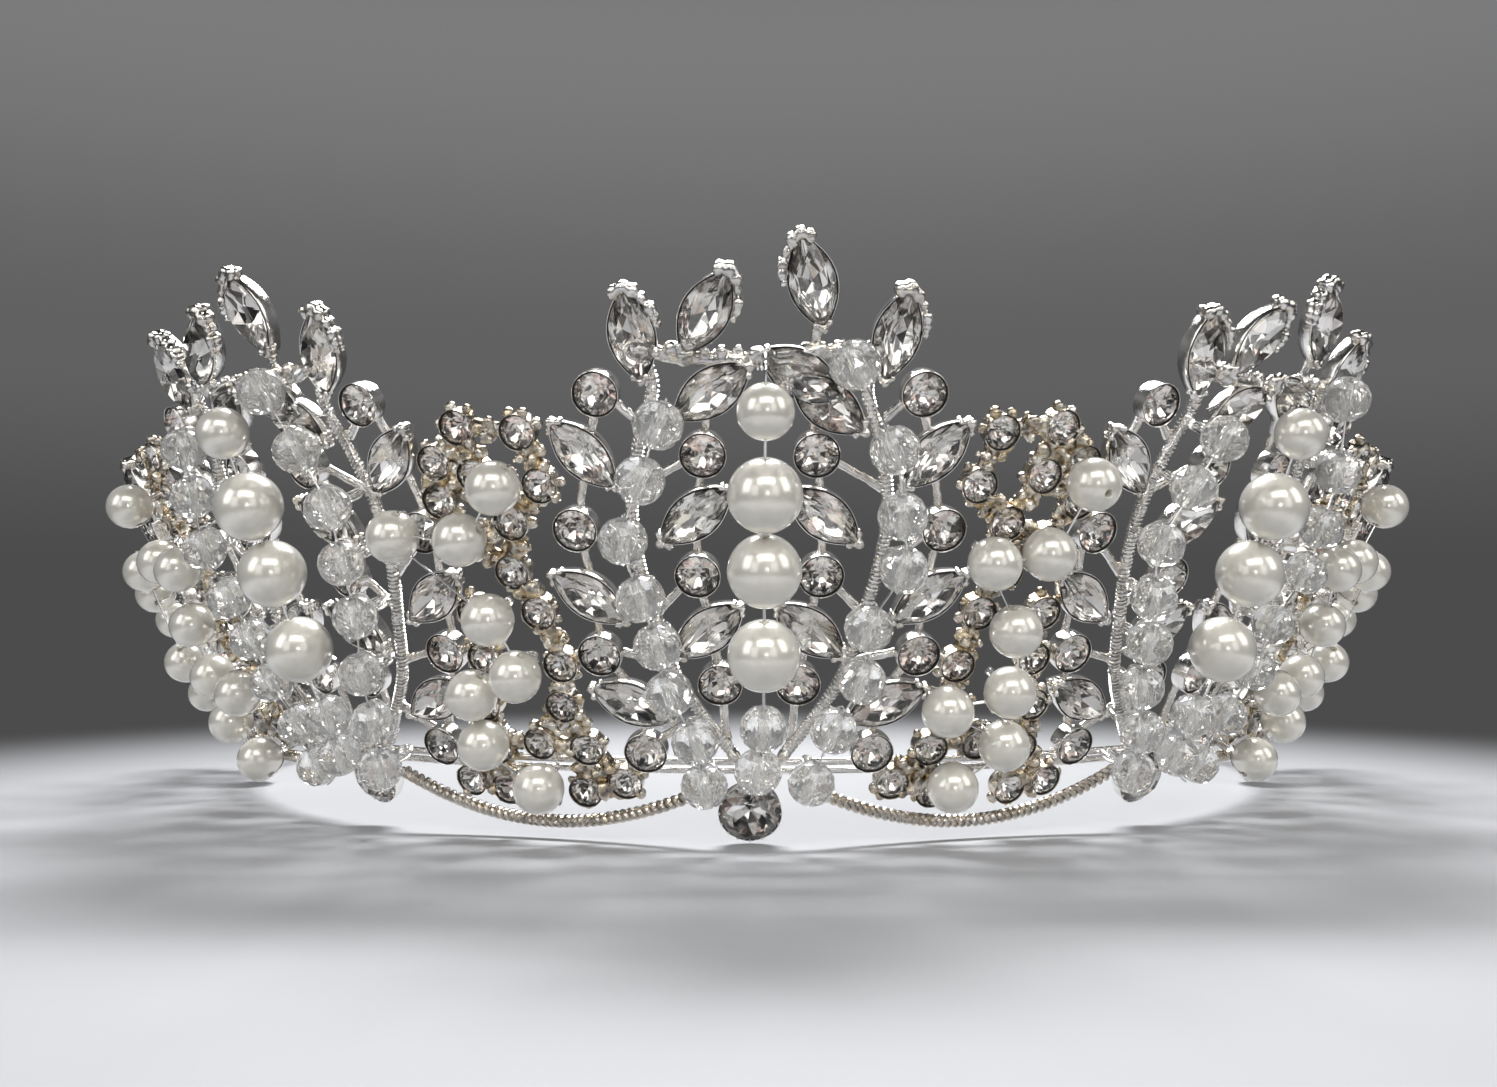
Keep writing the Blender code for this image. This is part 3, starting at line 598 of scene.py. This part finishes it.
def add_tie(bm, centre, axis, radius, outward):
    """Binding wire out of both ends of a bore, down the bead's back and round the casting."""
    points = []
    for k in range(21):
        a = math.pi * k / 20
        points.append(centre + (axis * math.cos(a) - outward * math.sin(a)) * (radius + 0.08))
    add_tube(bm, points, WIRE, 6)
    near, far = radius - 0.1, BEAD_FRONT + 1.0
    across = axis.cross(outward).normalized()
    coil = []
    for k in range(49):
        a = 2 * math.pi * k / 16
        drop = (near + far) / 2 - (far - near) / 2 * math.cos(a)
        coil.append(centre - outward * drop + across * 0.8 * math.sin(a) + axis * (k / 48 - 0.5))
    add_tube(bm, coil, WIRE, 6)


# ---------------------------------------------------------------- castings

def navette_outline(angle, inset):
    """Point of the pointed outline, its wall moved inwards by some millimetres."""
    x, y = math.cos(angle), math.sin(angle)
    return (x * (NAVETTE_LENGTH / 2 - inset * 1.6),
            math.copysign(y * y, y) * (NAVETTE_WIDTH / 2 - inset))


def add_boat(bm, matrix):
    """Thick-walled setting of a pointed stone, open in front, and a near-black ring of painted
    shade in its gap.
    """
    profile = [(0, -1.25), (0.9, -1.25), (0.40, -1.05), (0.14, -0.3), (0.02, 0.5), (0.03, 0.88),
               (0.07, 0.96), (0.12, 0.95), (0.16, 0.80), (0.35, 0.2), (1.1, -0.85), (0, -1.0)]
    add_turned(bm, profile, matrix, 40, shape=navette_outline)
    # Near-black ring of painted shade in the gap round the stone
    ring = [(0.30, 0.50), (0.12, 0.80), (0.12, 0.90), (0.32, 0.94)]
    add_turned(bm, ring, matrix, 40, mat=1, shape=navette_outline)


def add_claws(bm, matrix, seed, crown=0):
    """Claws over both tips of a pointed stone; a crown adds a heavy cluster up one side."""
    rng = random.Random(seed)
    half_x, half_y = NAVETTE_LENGTH / 2, NAVETTE_WIDTH / 2
    places = [(0.93, 0.0, 0.55), (0.80, 0.30, 0.46), (0.80, -0.30, 0.46),
              (-0.93, 0.0, 0.50), (-0.82, 0.26, 0.42), (-0.82, -0.26, 0.42)]
    if crown:
        places += [(0.90, 0.36, 0.72), (0.97, -0.02, 0.78), (0.88, -0.38, 0.70),
                   (0.70, crown * 0.66, 0.60), (0.50, crown * 0.92, 0.62),
                   (0.34, crown * 1.02, 0.58), (0.16, crown * 1.06, 0.42)]
    for x, y, radius in places:
        radius *= rng.uniform(0.88, 1.12)
        front = Vector((x * half_x, y * half_y, 1.05 + rng.uniform(0.0, 0.35)))
        add_nub(bm, front, radius, (1.0, 1.0, 0.85), matrix)
        add_nub(bm, front - Vector((0, 0, 0.85)), radius * 0.95, (1.0, 1.0, 1.5), matrix)


def add_cup(bm, matrix, radius=CUP_RADIUS):
    """Plain bezel cup with a thin lip and a near-black ring of painted shade inside it."""
    k = radius / CUP_RADIUS
    profile = [(0, -1.1), (1.9 * k, -1.1), (2.38 * k, -0.85), (2.52 * k, -0.2), (2.56 * k, 0.9),
               (2.55 * k, 1.14), (2.51 * k, 1.18), (2.47 * k, 1.14), (2.46 * k, 0.80),
               (2.2 * k, 0.1), (1.2 * k, -0.8), (0, -0.95)]
    add_turned(bm, profile, matrix, 36)
    # Near-black ring of painted shade in the gap round the stone
    ring = [(2.48 * k, 0.80), (2.48 * k, 1.05), (2.30 * k, 1.00), (2.20 * k, 0.70)]
    add_turned(bm, ring[::-1], matrix, 36, mat=1)


def add_lattice_nubs(bm, matrix, seed):
    """Ragged ring of solder and claws round a small lattice cup."""
    rng = random.Random(seed)
    start = rng.uniform(0.0, 1.0)
    for k in range(6):
        a = start + math.pi / 3 * k + rng.uniform(-0.25, 0.25)
        radius = rng.uniform(0.42, 0.78)
        reach = LATTICE_CUP + 0.12
        place = Vector((reach * math.cos(a), reach * math.sin(a), rng.uniform(-0.3, 0.7)))
        add_nub(bm, place, radius, (1.0, 1.0, rng.uniform(0.9, 1.4)), matrix)


def add_stem(bm, places, radius, seed, knots=1.4, depth=0.0):
    """Cast stem, a little thicker at its ends and with knots where it was soldered."""
    points = smooth_path([band_point(s, v, depth) for s, v in places], 5)
    add_tube(bm, points, lambda t: radius * (1.0 + 0.35 * (2 * t - 1) ** 4), 8)
    rng = random.Random(seed)
    for s, v in places:
        place = band_point(s, v, depth + rng.uniform(-0.1, 0.2))
        add_nub(bm, place, radius * knots * rng.uniform(0.9, 1.1))


def add_winding(bm, places):
    """Fine wire wound round a main stem."""
    points = smooth_path([band_point(s, v, MAIN_STEM_DEPTH) for s, v in places], 24)
    coil = []
    turn = 0.0
    for i in range(len(points) - 1):
        step = points[i + 1] - points[i]
        direction = step.normalized()
        across = direction.cross(Vector((0.1, 1.0, 0.2))).normalized()
        along = direction.cross(across)
        parts = max(1, round(step.length / WINDING_PITCH * 9))
        for k in range(parts):
            turn += 2 * math.pi * step.length / parts / WINDING_PITCH
            centre = points[i] + step * (k / parts)
            around = across * math.cos(turn) + along * math.sin(turn)
            coil.append(centre + around * WINDING_RADIUS)
    add_tube(bm, coil, 0.15, 5)


def motif_casting(name, foot):
    bm = bmesh.new()
    add_stem(bm, CREST_BAR, 0.80, 1, 1.3)
    rng = random.Random(5)
    for k in range(13):
        s = -8.5 + 1.35 * k
        add_nub(bm, band_point(s, 56.7 + rng.uniform(-0.3, 0.7), rng.uniform(-0.2, 0.7)),
                rng.uniform(0.5, 0.95))
    for i, stem in enumerate((*foot, *CREST_STEMS)):
        add_stem(bm, stem, 0.58, i)
    for i, stem in enumerate(MOTIF_STEMS):
        knots, depth = (1.35, MAIN_STEM_DEPTH) if i == 0 else (0.95, BACK_STEM_DEPTH)
        add_stem(bm, stem, 0.54, i, knots, depth)
        add_stem(bm, mirrored(stem), 0.54, i + 20, knots, depth)
    for i, (s, v, turn) in enumerate((*MOTIF_NAVETTES, *mirrored(MOTIF_NAVETTES), *CREST_STONES)):
        add_claws(bm, seat(s, v, turn), i)
    for i, (s, v, turn) in enumerate(CREST_NAVETTES):
        add_claws(bm, seat(s, v, turn), i + 50, (-1, -1, 1, -1)[i])
    return cast_mesh(name, bm)


def motif_windings(name):
    bm = bmesh.new()
    for places in (MOTIF_STEMS[0], mirrored(MOTIF_STEMS[0])):
        add_winding(bm, places)
    return to_mesh(name, bm)


def motif_settings(name):
    bm = bmesh.new()
    for s, v, turn in (*MOTIF_NAVETTES, *mirrored(MOTIF_NAVETTES), *CREST_STONES,
                       *CREST_NAVETTES):
        add_boat(bm, seat(s, v, turn))
    return to_mesh(name, bm)


def cup_group(name, places, radius=CUP_RADIUS):
    bm = bmesh.new()
    for s, v in places:
        add_cup(bm, seat(s, v), radius)
    return to_mesh(name, bm)


def round_stones(name, places, radius, w, crown, depth):
    bm = stone_bmesh()
    for s, v in places:
        matrix = seat(s, v, random.uniform(0, 90), w)
        add_brilliant(bm, matrix, 2 * radius, 2 * radius, crown, depth, contrast=0.7)
    return to_mesh(name, bm)


def pointed_stones(name, places):
    bm = stone_bmesh()
    for s, v, turn in places:
        add_brilliant(bm, seat(s, v, turn, GIRDLE_DEPTH), NAVETTE_LENGTH - 0.55,
                      NAVETTE_WIDTH - 0.5, 1.30, 1.70, True, 0.28)
    return to_mesh(name, bm)


def lattice_casting(name, places):
    bm = bmesh.new()
    rng = random.Random(3)
    for i, (s, v) in enumerate(places):
        add_lattice_nubs(bm, seat(s, v), i)
        for s2, v2 in places[i + 1:]:
            gap = (band_point(s, v) - band_point(s2, v2)).length
            if gap > LATTICE_LINK:
                continue
            trim = (LATTICE_CUP - 0.15) / gap
            ends = [(s + (s2 - s) * t, v + (v2 - v) * t) for t in (trim, 1.0 - trim)]
            add_stem(bm, ends, 0.85, i, 1.0)
            for k in range(7):
                t = rng.uniform(0.42, 0.58)
                spread = rng.uniform(-1.5, 1.5)
                place = band_point(s + (s2 - s) * t - (v2 - v) / gap * spread,
                                   v + (v2 - v) * t + (s2 - s) / gap * spread,
                                   rng.uniform(-0.3, 1.2))
                add_nub(bm, place, rng.uniform(0.35, 0.75))
    return cast_mesh(name, bm, 0.13)


def end_casting(name):
    bm = bmesh.new()
    for i, stem in enumerate(END_STEMS):
        add_stem(bm, stem, 0.56, i, 0.95, BACK_STEM_DEPTH if i else -0.6)
    for i, (s, v, turn) in enumerate(END_NAVETTES):
        add_claws(bm, seat(s, v, turn), i, -1)
    return cast_mesh(name, bm)


def end_settings(name):
    bm = bmesh.new()
    for s, v, turn in END_NAVETTES:
        add_boat(bm, seat(s, v, turn))
    return to_mesh(name, bm)


def flip(mesh):
    """Mirror image of a mesh made for the wearer's left."""
    mesh.transform(Matrix.Scale(-1.0, 4, (1.0, 0.0, 0.0)))
    mesh.flip_normals()
    return mesh


# ---------------------------------------------------------------- groups of pieces

STONES = (STONE_GLASS, FOIL)


def add_motifs():
    cups = (*MOTIF_CUPS, *mirrored(MOTIF_CUPS))
    low_navettes = (*MOTIF_NAVETTES, *mirrored(MOTIF_NAVETTES), *CREST_STONES)
    for label, module in (("left", -1), ("centre", 0), ("right", 1)):
        place = {"module": module * PITCH}
        foot = CENTRE_FOOT if module == 0 else SIDE_FOOT
        add_piece("motif_casting_" + label, motif_casting("motif_casting_" + label, foot),
                  [SILVER], replaces=["motif_frame_" + label], slot="silver", **place)
        add_piece("stem_windings_" + label, motif_windings("stem_windings_" + label),
                  [WIRE_SILVER], slot="silver_wire", **place)
        add_piece("navette_settings_" + label, motif_settings("navette_settings_" + label),
                  [SETTING, GAP_SHADE], slot="silver", **place)
        add_piece("round_cups_" + label, cup_group("round_cups_" + label, cups),
                  [SETTING, GAP_SHADE], slot="silver", **place)
        stones = round_stones("round_stones_" + label, cups, *CUP_STONE)
        add_piece("round_stones_" + label, stones, STONES, slot="rhinestone", smooth=False,
                  **place)
        stones = pointed_stones("navettes_" + label, low_navettes)
        add_piece("navettes_" + label, stones, STONES, slot="rhinestone", smooth=False, **place)
        for i, crest in enumerate(CREST_NAVETTES):
            name = "crest_stone_%s_%d" % (label, i + 1)
            covers = ["crest_navette_%d" % (i + 1)] if module == 0 else []
            add_piece(name, pointed_stones(name, [crest]), STONES, replaces=covers,
                      slot="rhinestone", smooth=False, **place)


def add_lattices():
    for label, module, side, foot in (("far_left", -1.5, -1, FAR_LATTICE_FOOT),
                                      ("left", -0.5, 1, 0.0), ("right", 0.5, -1, 0.0),
                                      ("far_right", 1.5, 1, FAR_LATTICE_FOOT)):
        places = [(side * s, v) for s, v in LATTICE_STONES if v > foot]
        name = "lattice_casting_" + label
        add_piece(name, lattice_casting(name, places), [TARNISHED], module=module * PITCH,
                  replaces=["lattice_frame_" + label], slot="tarnished_silver")
        name = "lattice_cups_" + label
        add_piece(name, cup_group(name, places, LATTICE_CUP), [TARNISHED, GAP_SHADE],
                  module=module * PITCH, slot="tarnished_silver")
        name = "lattice_stones_" + label
        stones = round_stones(name, places, *LATTICE_STONE)
        add_piece(name, stones, STONES, module=module * PITCH, slot="rhinestone", smooth=False)


def add_ends():
    for label, side in (("left", -1), ("right", 1)):
        built = (
            ("end_casting_", end_casting, (), [SILVER], "silver", True),
            ("end_settings_", end_settings, (), [SETTING, GAP_SHADE], "silver", True),
            ("end_cups_", cup_group, (END_CUPS,), [SETTING, GAP_SHADE], "silver", True),
            ("end_stones_", round_stones, (END_CUPS, *CUP_STONE), STONES, "rhinestone", False),
            ("end_navettes_", pointed_stones, (END_NAVETTES,), STONES, "rhinestone", False),
        )
        for prefix, make, extra, materials, slot, smooth in built:
            name = prefix + label
            mesh = make(name, *extra)
            if side < 0:
                flip(mesh)
            covers = ["end_frame_" + label] if make is end_casting else []
            add_piece(name, mesh, materials, module=side * 2 * PITCH, replaces=covers, slot=slot,
                      smooth=smooth)


def add_bead_strand(name, label, places, module, node, radius=BEAD_RADIUS, pearls=False):
    """Beads or small pearls, and the wire ties that hold each one to the casting."""
    beads = bmesh.new()
    ties = bmesh.new()
    centres = [band_point(s, v, BEAD_FRONT) for s, v in places]
    for i, (centre, axis) in enumerate(zip(centres, strand_axes(centres))):
        s = places[i][0]
        outward = band_axes(s).col[2]
        if node == "lattice_pearls_right" and i == 0:
            axis = outward
        if pearls:
            turn = axis.to_track_quat("Z", "Y").to_matrix().to_4x4()
            add_pearl(beads, Matrix.Translation(centre) @ turn, radius, 32, 16)
        else:
            add_bead(beads, centre, axis, radius, random.uniform(0, 1))
        if axis != outward:
            add_tie(ties, centre, axis, radius, outward)
    add_tube(ties, smooth_path(centres, 12), WIRE, 6)
    material = PEARL if pearls else BEAD_GLASS
    add_piece(name + label, to_mesh(name + label, beads), [material], module=module,
              replaces=[node], slot="pearl" if pearls else "crystal", smooth=pearls)
    add_piece("ties_" + node, to_mesh("ties_" + node, ties), [WIRE_SILVER], module=module,
              slot="silver_wire")


def add_strands():
    for label, module in (("left", -1), ("centre", 0), ("right", 1)):
        right = VINE_RIGHT_CLOSE if module == -1 else VINE_RIGHT
        for half, places in (("a", VINE_LEFT), ("b", right)):
            node = "crystal_vine_%s_%s" % (label, half)
            add_bead_strand("glass_beads_", label + "_" + half, places, module * PITCH, node)
    mirror = [(-s, v) for s, v in LATTICE_PEARLS_RIGHT]
    for label, module, places in (("far_left", -1.5, mirror), ("left", -0.5, LATTICE_PEARLS_LEFT),
                                  ("right", 0.5, LATTICE_PEARLS_RIGHT),
                                  ("far_right", 1.5, LATTICE_PEARLS_RIGHT)):
        add_bead_strand("small_pearls_", label, places, module * PITCH,
                        "lattice_pearls_" + label, SMALL_PEARL, True)
    for label, side in (("left", -1), ("right", 1)):
        places = [(side * s, v) for s, v in END_STRAND]
        add_bead_strand("end_small_pearls_", label, places, side * 2 * PITCH,
                        "end_pearls_" + label, SMALL_PEARL, True)


def add_columns():
    """Upright wires with their pearls, each pearl on its own body."""
    for label, module in (("left", -1), ("centre", 0), ("right", 1)):
        for i, (height, radius) in enumerate(COLUMN_PEARLS):
            node = "pearl_%s_%d" % (label, i + 1)
            bm = bmesh.new()
            upright = seat(PEARL_COLUMN, height, 0.0, PEARL_FRONT) @ Matrix.Rotation(
                -math.pi / 2, 4, "X")
            add_pearl(bm, upright, radius, 48, 26, COLUMN_BORE)
            add_piece("round_" + node, to_mesh("round_" + node, bm), [PEARL], node,
                      module * PITCH, [node], "pearl")
        wires = bmesh.new()
        foot = COLUMN_PEARLS[-1][0] - LARGE_PEARL - 0.9
        route = [(PEARL_COLUMN, 56.9, 1.0), (PEARL_COLUMN, 57.3, 3.0), (PEARL_COLUMN, 56.9, 4.8),
                 (PEARL_COLUMN, 56.0, PEARL_FRONT), (PEARL_COLUMN, 50.0, PEARL_FRONT),
                 (PEARL_COLUMN, 30.0, PEARL_FRONT), (PEARL_COLUMN, foot, PEARL_FRONT),
                 *[(s, v, COLUMN_BEAD_FRONT) for s, v in COLUMN_BEADS],
                 (-0.4, 7.4, 2.4), (-0.4, 7.2, 0.6)]
        add_tube(wires, smooth_path([band_point(*p) for p in route], 8), WIRE + 0.05, 8)
        coil = []
        for k in range(60):
            a = 2 * math.pi * k / 14
            coil.append(band_point(PEARL_COLUMN - 0.75 + 0.025 * k, 56.1 + 1.15 * math.cos(a),
                                   1.15 * math.sin(a)))
        add_tube(wires, coil, 0.19, 6)
        name = "column_wire_" + label
        add_piece(name, to_mesh(name, wires), [WIRE_SILVER], module=module * PITCH,
                  replaces=["pearl_wire_" + label], slot="silver_wire")
        beads = bmesh.new()
        for s, v in COLUMN_BEADS:
            add_bead(beads, band_point(s, v, COLUMN_BEAD_FRONT), band_axes(s).col[1], BEAD_RADIUS,
                     random.uniform(0, 1))
        name = "column_beads_" + label
        add_piece(name, to_mesh(name, beads), [BEAD_GLASS], module=module * PITCH,
                  slot="crystal", smooth=False)


def add_drops():
    for label, module in (("far_left", -2), ("left", -1), ("centre", 0), ("right", 1),
                          ("far_right", 2)):
        s = -1.0 if module == 0 else 0.0
        v = DROP_HEIGHTS[module]
        bm = bmesh.new()
        profile = [(0, -0.95), (2.4, -0.95), (3.2, -0.6), (3.62, 0.1), (3.74, 0.9), (3.76, 1.36),
                   (3.71, 1.42), (3.66, 1.38), (3.62, 1.1), (3.2, 0.4), (1.5, -0.7), (0, -0.85)]
        add_turned(bm, profile, seat(s, v), 48)
        for k in range(16):
            a = 2 * math.pi * k / 16
            add_nub(bm, Vector((DROP_RIM * math.cos(a), DROP_RIM * math.sin(a), 1.42)), 0.2,
                    (1.0, 1.0, 0.7), seat(s, v), 1)
        if abs(module) == 2:
            hook = [(0.0, 5.7, 0.0), (0.0, 6.6, -0.5), (0.0, 7.9, -0.35)]
            add_tube(bm, smooth_path([band_point(*p) for p in hook], 6), 0.5, 10)
            add_nub(bm, band_point(0.0, 5.8, 0.0), 0.75)
            add_nub(bm, band_point(0.0, 7.9, -0.3), 0.8)
        name = "drop_bezel_" + label
        add_piece(name, to_mesh(name, bm), [SETTING], module=module * PITCH,
                  replaces=["drop_cup_" + label], slot="silver")
        bm = stone_bmesh()
        radius, w, crown, depth = DROP_STONE
        add_brilliant(bm, seat(s, v, 11.25, w), 2 * radius, 2 * radius, crown, depth)
        name = "drop_brilliant_" + label
        add_piece(name, to_mesh(name, bm), STONES, module=module * PITCH,
                  replaces=["drop_stone_" + label], slot="rhinestone", smooth=False)


def add_band():
    """Band wires and twisted rope edges."""
    for level, height in BAND_WIRES:
        bm = bmesh.new()
        points = [band_point(BAND_HALF_LENGTH * (2 * i / 160 - 1), height, BAND_WIRE_DEPTH)
                  for i in range(161)]
        add_tube(bm, points, BAND_WIRE_RADIUS, 14)
        name = "smooth_wire_" + level
        add_piece(name, to_mesh(name, bm), [BAND_SILVER], replaces=["band_wire_" + level],
                  slot="silver_wire")
    for label, module, lowest, rise in ROPES:
        bm = bmesh.new()
        steps = 300
        for strand in (0.0, math.pi):
            points = []
            for i in range(steps + 1):
                s = ROPE_HALF_LENGTH * (2 * i / steps - 1)
                axes = band_axes(s)
                a = strand + s * 2 * math.pi / ROPE_PITCH
                spin = axes.col[1] * math.cos(a) + axes.col[2] * math.sin(a)
                middle = band_point(s, lowest + rise * (s / 20) ** 2, 0.3)
                points.append(middle + spin * ROPE_TWIST)
            add_tube(bm, points, ROPE_STRAND, 8)
        name = "twisted_rope_" + label
        add_piece(name, to_mesh(name, bm), [ROPE_SILVER], module=module * PITCH,
                  replaces=["rope_edge_" + label], slot="silver_rope")


def add_end_tabs():
    """Rounded end plates with a hole for a hairpin or a ribbon, soldered to the band wires."""
    def shape(angle, inset):
        """Point of the plate's outline, or of its hole where inset is minus the hole's radius."""
        x, y = math.cos(angle), math.sin(angle)
        if inset < 0:
            return (TAB_HOLE_PLACE - inset * x, -inset * y)
        return (math.copysign(abs(x) ** 0.75, x) * (TAB_HALF_LENGTH - inset),
                math.copysign(abs(y) ** 0.75, y) * (TAB_HALF_WIDTH - inset))

    for label, side in (("left", -1), ("right", 1)):
        bm = bmesh.new()
        middle = TAB_START + TAB_HALF_LENGTH * BASE_RADIUS / TAB_REACH
        place = seat(middle, TAB_HEIGHT, 0.0, TAB_DEPTH)
        profile = [(-1.3, 0.30), (-1.45, 0.45), (0.3, 0.45), (0.09, 0.38), (0.01, 0.2),
                   (0.01, -0.2), (0.09, -0.38), (0.3, -0.45), (-1.45, -0.45), (-1.3, -0.30)]
        add_turned(bm, profile, place, 56, shape=shape)
        for _, v in BAND_WIRES:
            for k in range(3):
                solder = band_point(BAND_HALF_LENGTH + 0.1 + 0.8 * k, v, -1.25 - 0.1 * k)
                add_nub(bm, solder, 0.62 - 0.08 * k, (1.2, 1.0, 0.8))
        name = "end_plate_" + label
        mesh = to_mesh(name, bm)
        if side < 0:
            flip(mesh)
        add_piece(name, mesh, [SILVER], replaces=["end_tab_" + label], slot="silver")


# ---------------------------------------------------------------- camera, lights and floor

CAMERA_LENS = 34.87
CAMERA_PLACE = (-0.0012, -0.2011, 0.0294)
CAMERA_RISE = 0.035         # radians above level
HORIZON = 0.072
SKY_STOPS = ((0.0, HORIZON), (0.505, HORIZON), (0.58, 0.12), (0.68, 0.20), (0.80, 0.12),
             (0.90, 0.03))
POOL_CENTRE = (0.0, -0.035, 0.0)
POOL_FADE = (0.085, 0.22)   # from here to here the lit floor gives way to a painted grey glow, like the backdrop behind it
AIM = (0.0, -0.02, 0.03)
WHITE = (1.0, 1.0, 1.0)
# Name, place, target, size, watts and colour
LIGHTS = (
    ("back_box", (0.0, 0.20, 0.42), (0.0, -0.04, 0.0), (0.30, 0.10), 3.2, WHITE),
    ("left_box", (-0.60, -0.40, 0.35), AIM, (0.34, 0.50), 1.2, (0.99, 0.99, 1.0)),
    ("right_box", (0.65, -0.30, 0.40), AIM, (0.34, 0.50), 1.3, (1.0, 0.985, 0.96)),
    ("front_box", (0.05, -0.70, 0.62), AIM, (0.80, 0.34), 2.9, (1.0, 0.985, 0.95)),
    ("small_box", (0.06, -0.50, 0.07), AIM, (0.035, 0.035), 0.12, WHITE),
    ("left_panel", (-0.42, -0.75, 0.16), AIM, (0.30, 0.50), 0.55, WHITE),
    ("right_panel", (0.42, -0.75, 0.16), AIM, (0.30, 0.50), 0.55, WHITE),
)


def add_camera():
    camera = bpy.data.objects.new("camera", bpy.data.cameras.new("camera"))
    bpy.context.scene.collection.objects.link(camera)
    camera.data.lens = CAMERA_LENS
    camera.data.sensor_width = 36.0
    camera.data.clip_start = 0.01
    camera.location = CAMERA_PLACE
    camera.rotation_euler = (math.pi / 2 + CAMERA_RISE, 0.0, 0.0)
    bpy.context.scene.camera = camera


def add_light(name, place, target, size, power, colour):
    data = bpy.data.lights.new(name, "AREA")
    data.shape = "RECTANGLE"
    data.size, data.size_y = size
    data.energy = power
    data.color = colour
    light = bpy.data.objects.new(name, data)
    bpy.context.scene.collection.objects.link(light)
    light.location = place
    light.rotation_euler = (Vector(target) - Vector(place)).to_track_quat("-Z", "Y").to_euler()


def sky(tree, direction, target):
    """Grey studio: dim at the horizon, brighter higher up, dark overhead."""
    parts = tree.nodes.new("ShaderNodeSeparateXYZ")
    tree.links.new(direction, parts.inputs["Vector"])
    ramp = tree.nodes.new("ShaderNodeValToRGB")
    ramp.color_ramp.interpolation = "EASE"
    while len(ramp.color_ramp.elements) < len(SKY_STOPS):
        ramp.color_ramp.elements.new(0.5)
    for element, (place, level) in zip(ramp.color_ramp.elements, SKY_STOPS):
        element.position = place
        element.color = (level, level, level * 1.01, 1.0)
    share = tree.nodes.new("ShaderNodeMapRange")
    share.inputs["From Min"].default_value = -1.0
    tree.links.new(parts.outputs["Z"], share.inputs["Value"])
    tree.links.new(share.outputs["Result"], ramp.inputs["Fac"])
    tree.links.new(ramp.outputs["Color"], target)


def add_studio():
    bm = bmesh.new()
    bmesh.ops.create_circle(bm, cap_ends=True, segments=96, radius=3.0)
    floor_mesh = bpy.data.meshes.new("floor")
    bm.to_mesh(floor_mesh)
    bm.free()
    floor = bpy.data.objects.new("floor", floor_mesh)
    bpy.context.scene.collection.objects.link(floor)
    n = Nodes("floor_paper").set(Roughness=0.6)
    n.link(n.mix(n.noise(30.0), (0.51, 0.52, 0.545), (0.48, 0.49, 0.515)), "Base Color")
    # Painted light: past the pool the floor glows grey like the backdrop, standing in for the light
    # falling off
    distance = n.tree.nodes.new("ShaderNodeVectorMath")
    distance.operation = "DISTANCE"
    distance.inputs[1].default_value = POOL_CENTRE
    n.tree.links.new(n.coords, distance.inputs[0])
    share = n.tree.nodes.new("ShaderNodeMapRange")
    share.inputs["From Min"].default_value, share.inputs["From Max"].default_value = POOL_FADE
    share.interpolation_type = "SMOOTHERSTEP"
    n.tree.links.new(distance.outputs["Value"], share.inputs["Value"])
    painted_glow = n.tree.nodes.new("ShaderNodeEmission")
    painted_glow.inputs["Color"].default_value = (HORIZON, HORIZON, HORIZON + 0.001, 1.0)
    blend = n.tree.nodes.new("ShaderNodeMixShader")
    n.tree.links.new(share.outputs["Result"], blend.inputs["Fac"])
    n.tree.links.new(n.shader.outputs["BSDF"], blend.inputs[1])
    n.tree.links.new(painted_glow.outputs["Emission"], blend.inputs[2])
    output = n.tree.nodes["Material Output"]
    n.tree.links.new(blend.outputs["Shader"], output.inputs["Surface"])
    floor_mesh.materials.append(n.material)
    world = bpy.data.worlds.new("studio")
    world.use_nodes = True
    bpy.context.scene.world = world
    tree = world.node_tree
    background = tree.nodes["Background"]
    direction = tree.nodes.new("ShaderNodeTexCoord").outputs["Generated"]
    sky(tree, direction, background.inputs["Color"])
    for light in LIGHTS:
        add_light(*light)
    bpy.context.scene.view_settings.view_transform = "Standard"


add_motifs()
add_lattices()
add_ends()
add_strands()
add_columns()
add_drops()
add_band()
add_end_tabs()
add_camera()
add_studio()
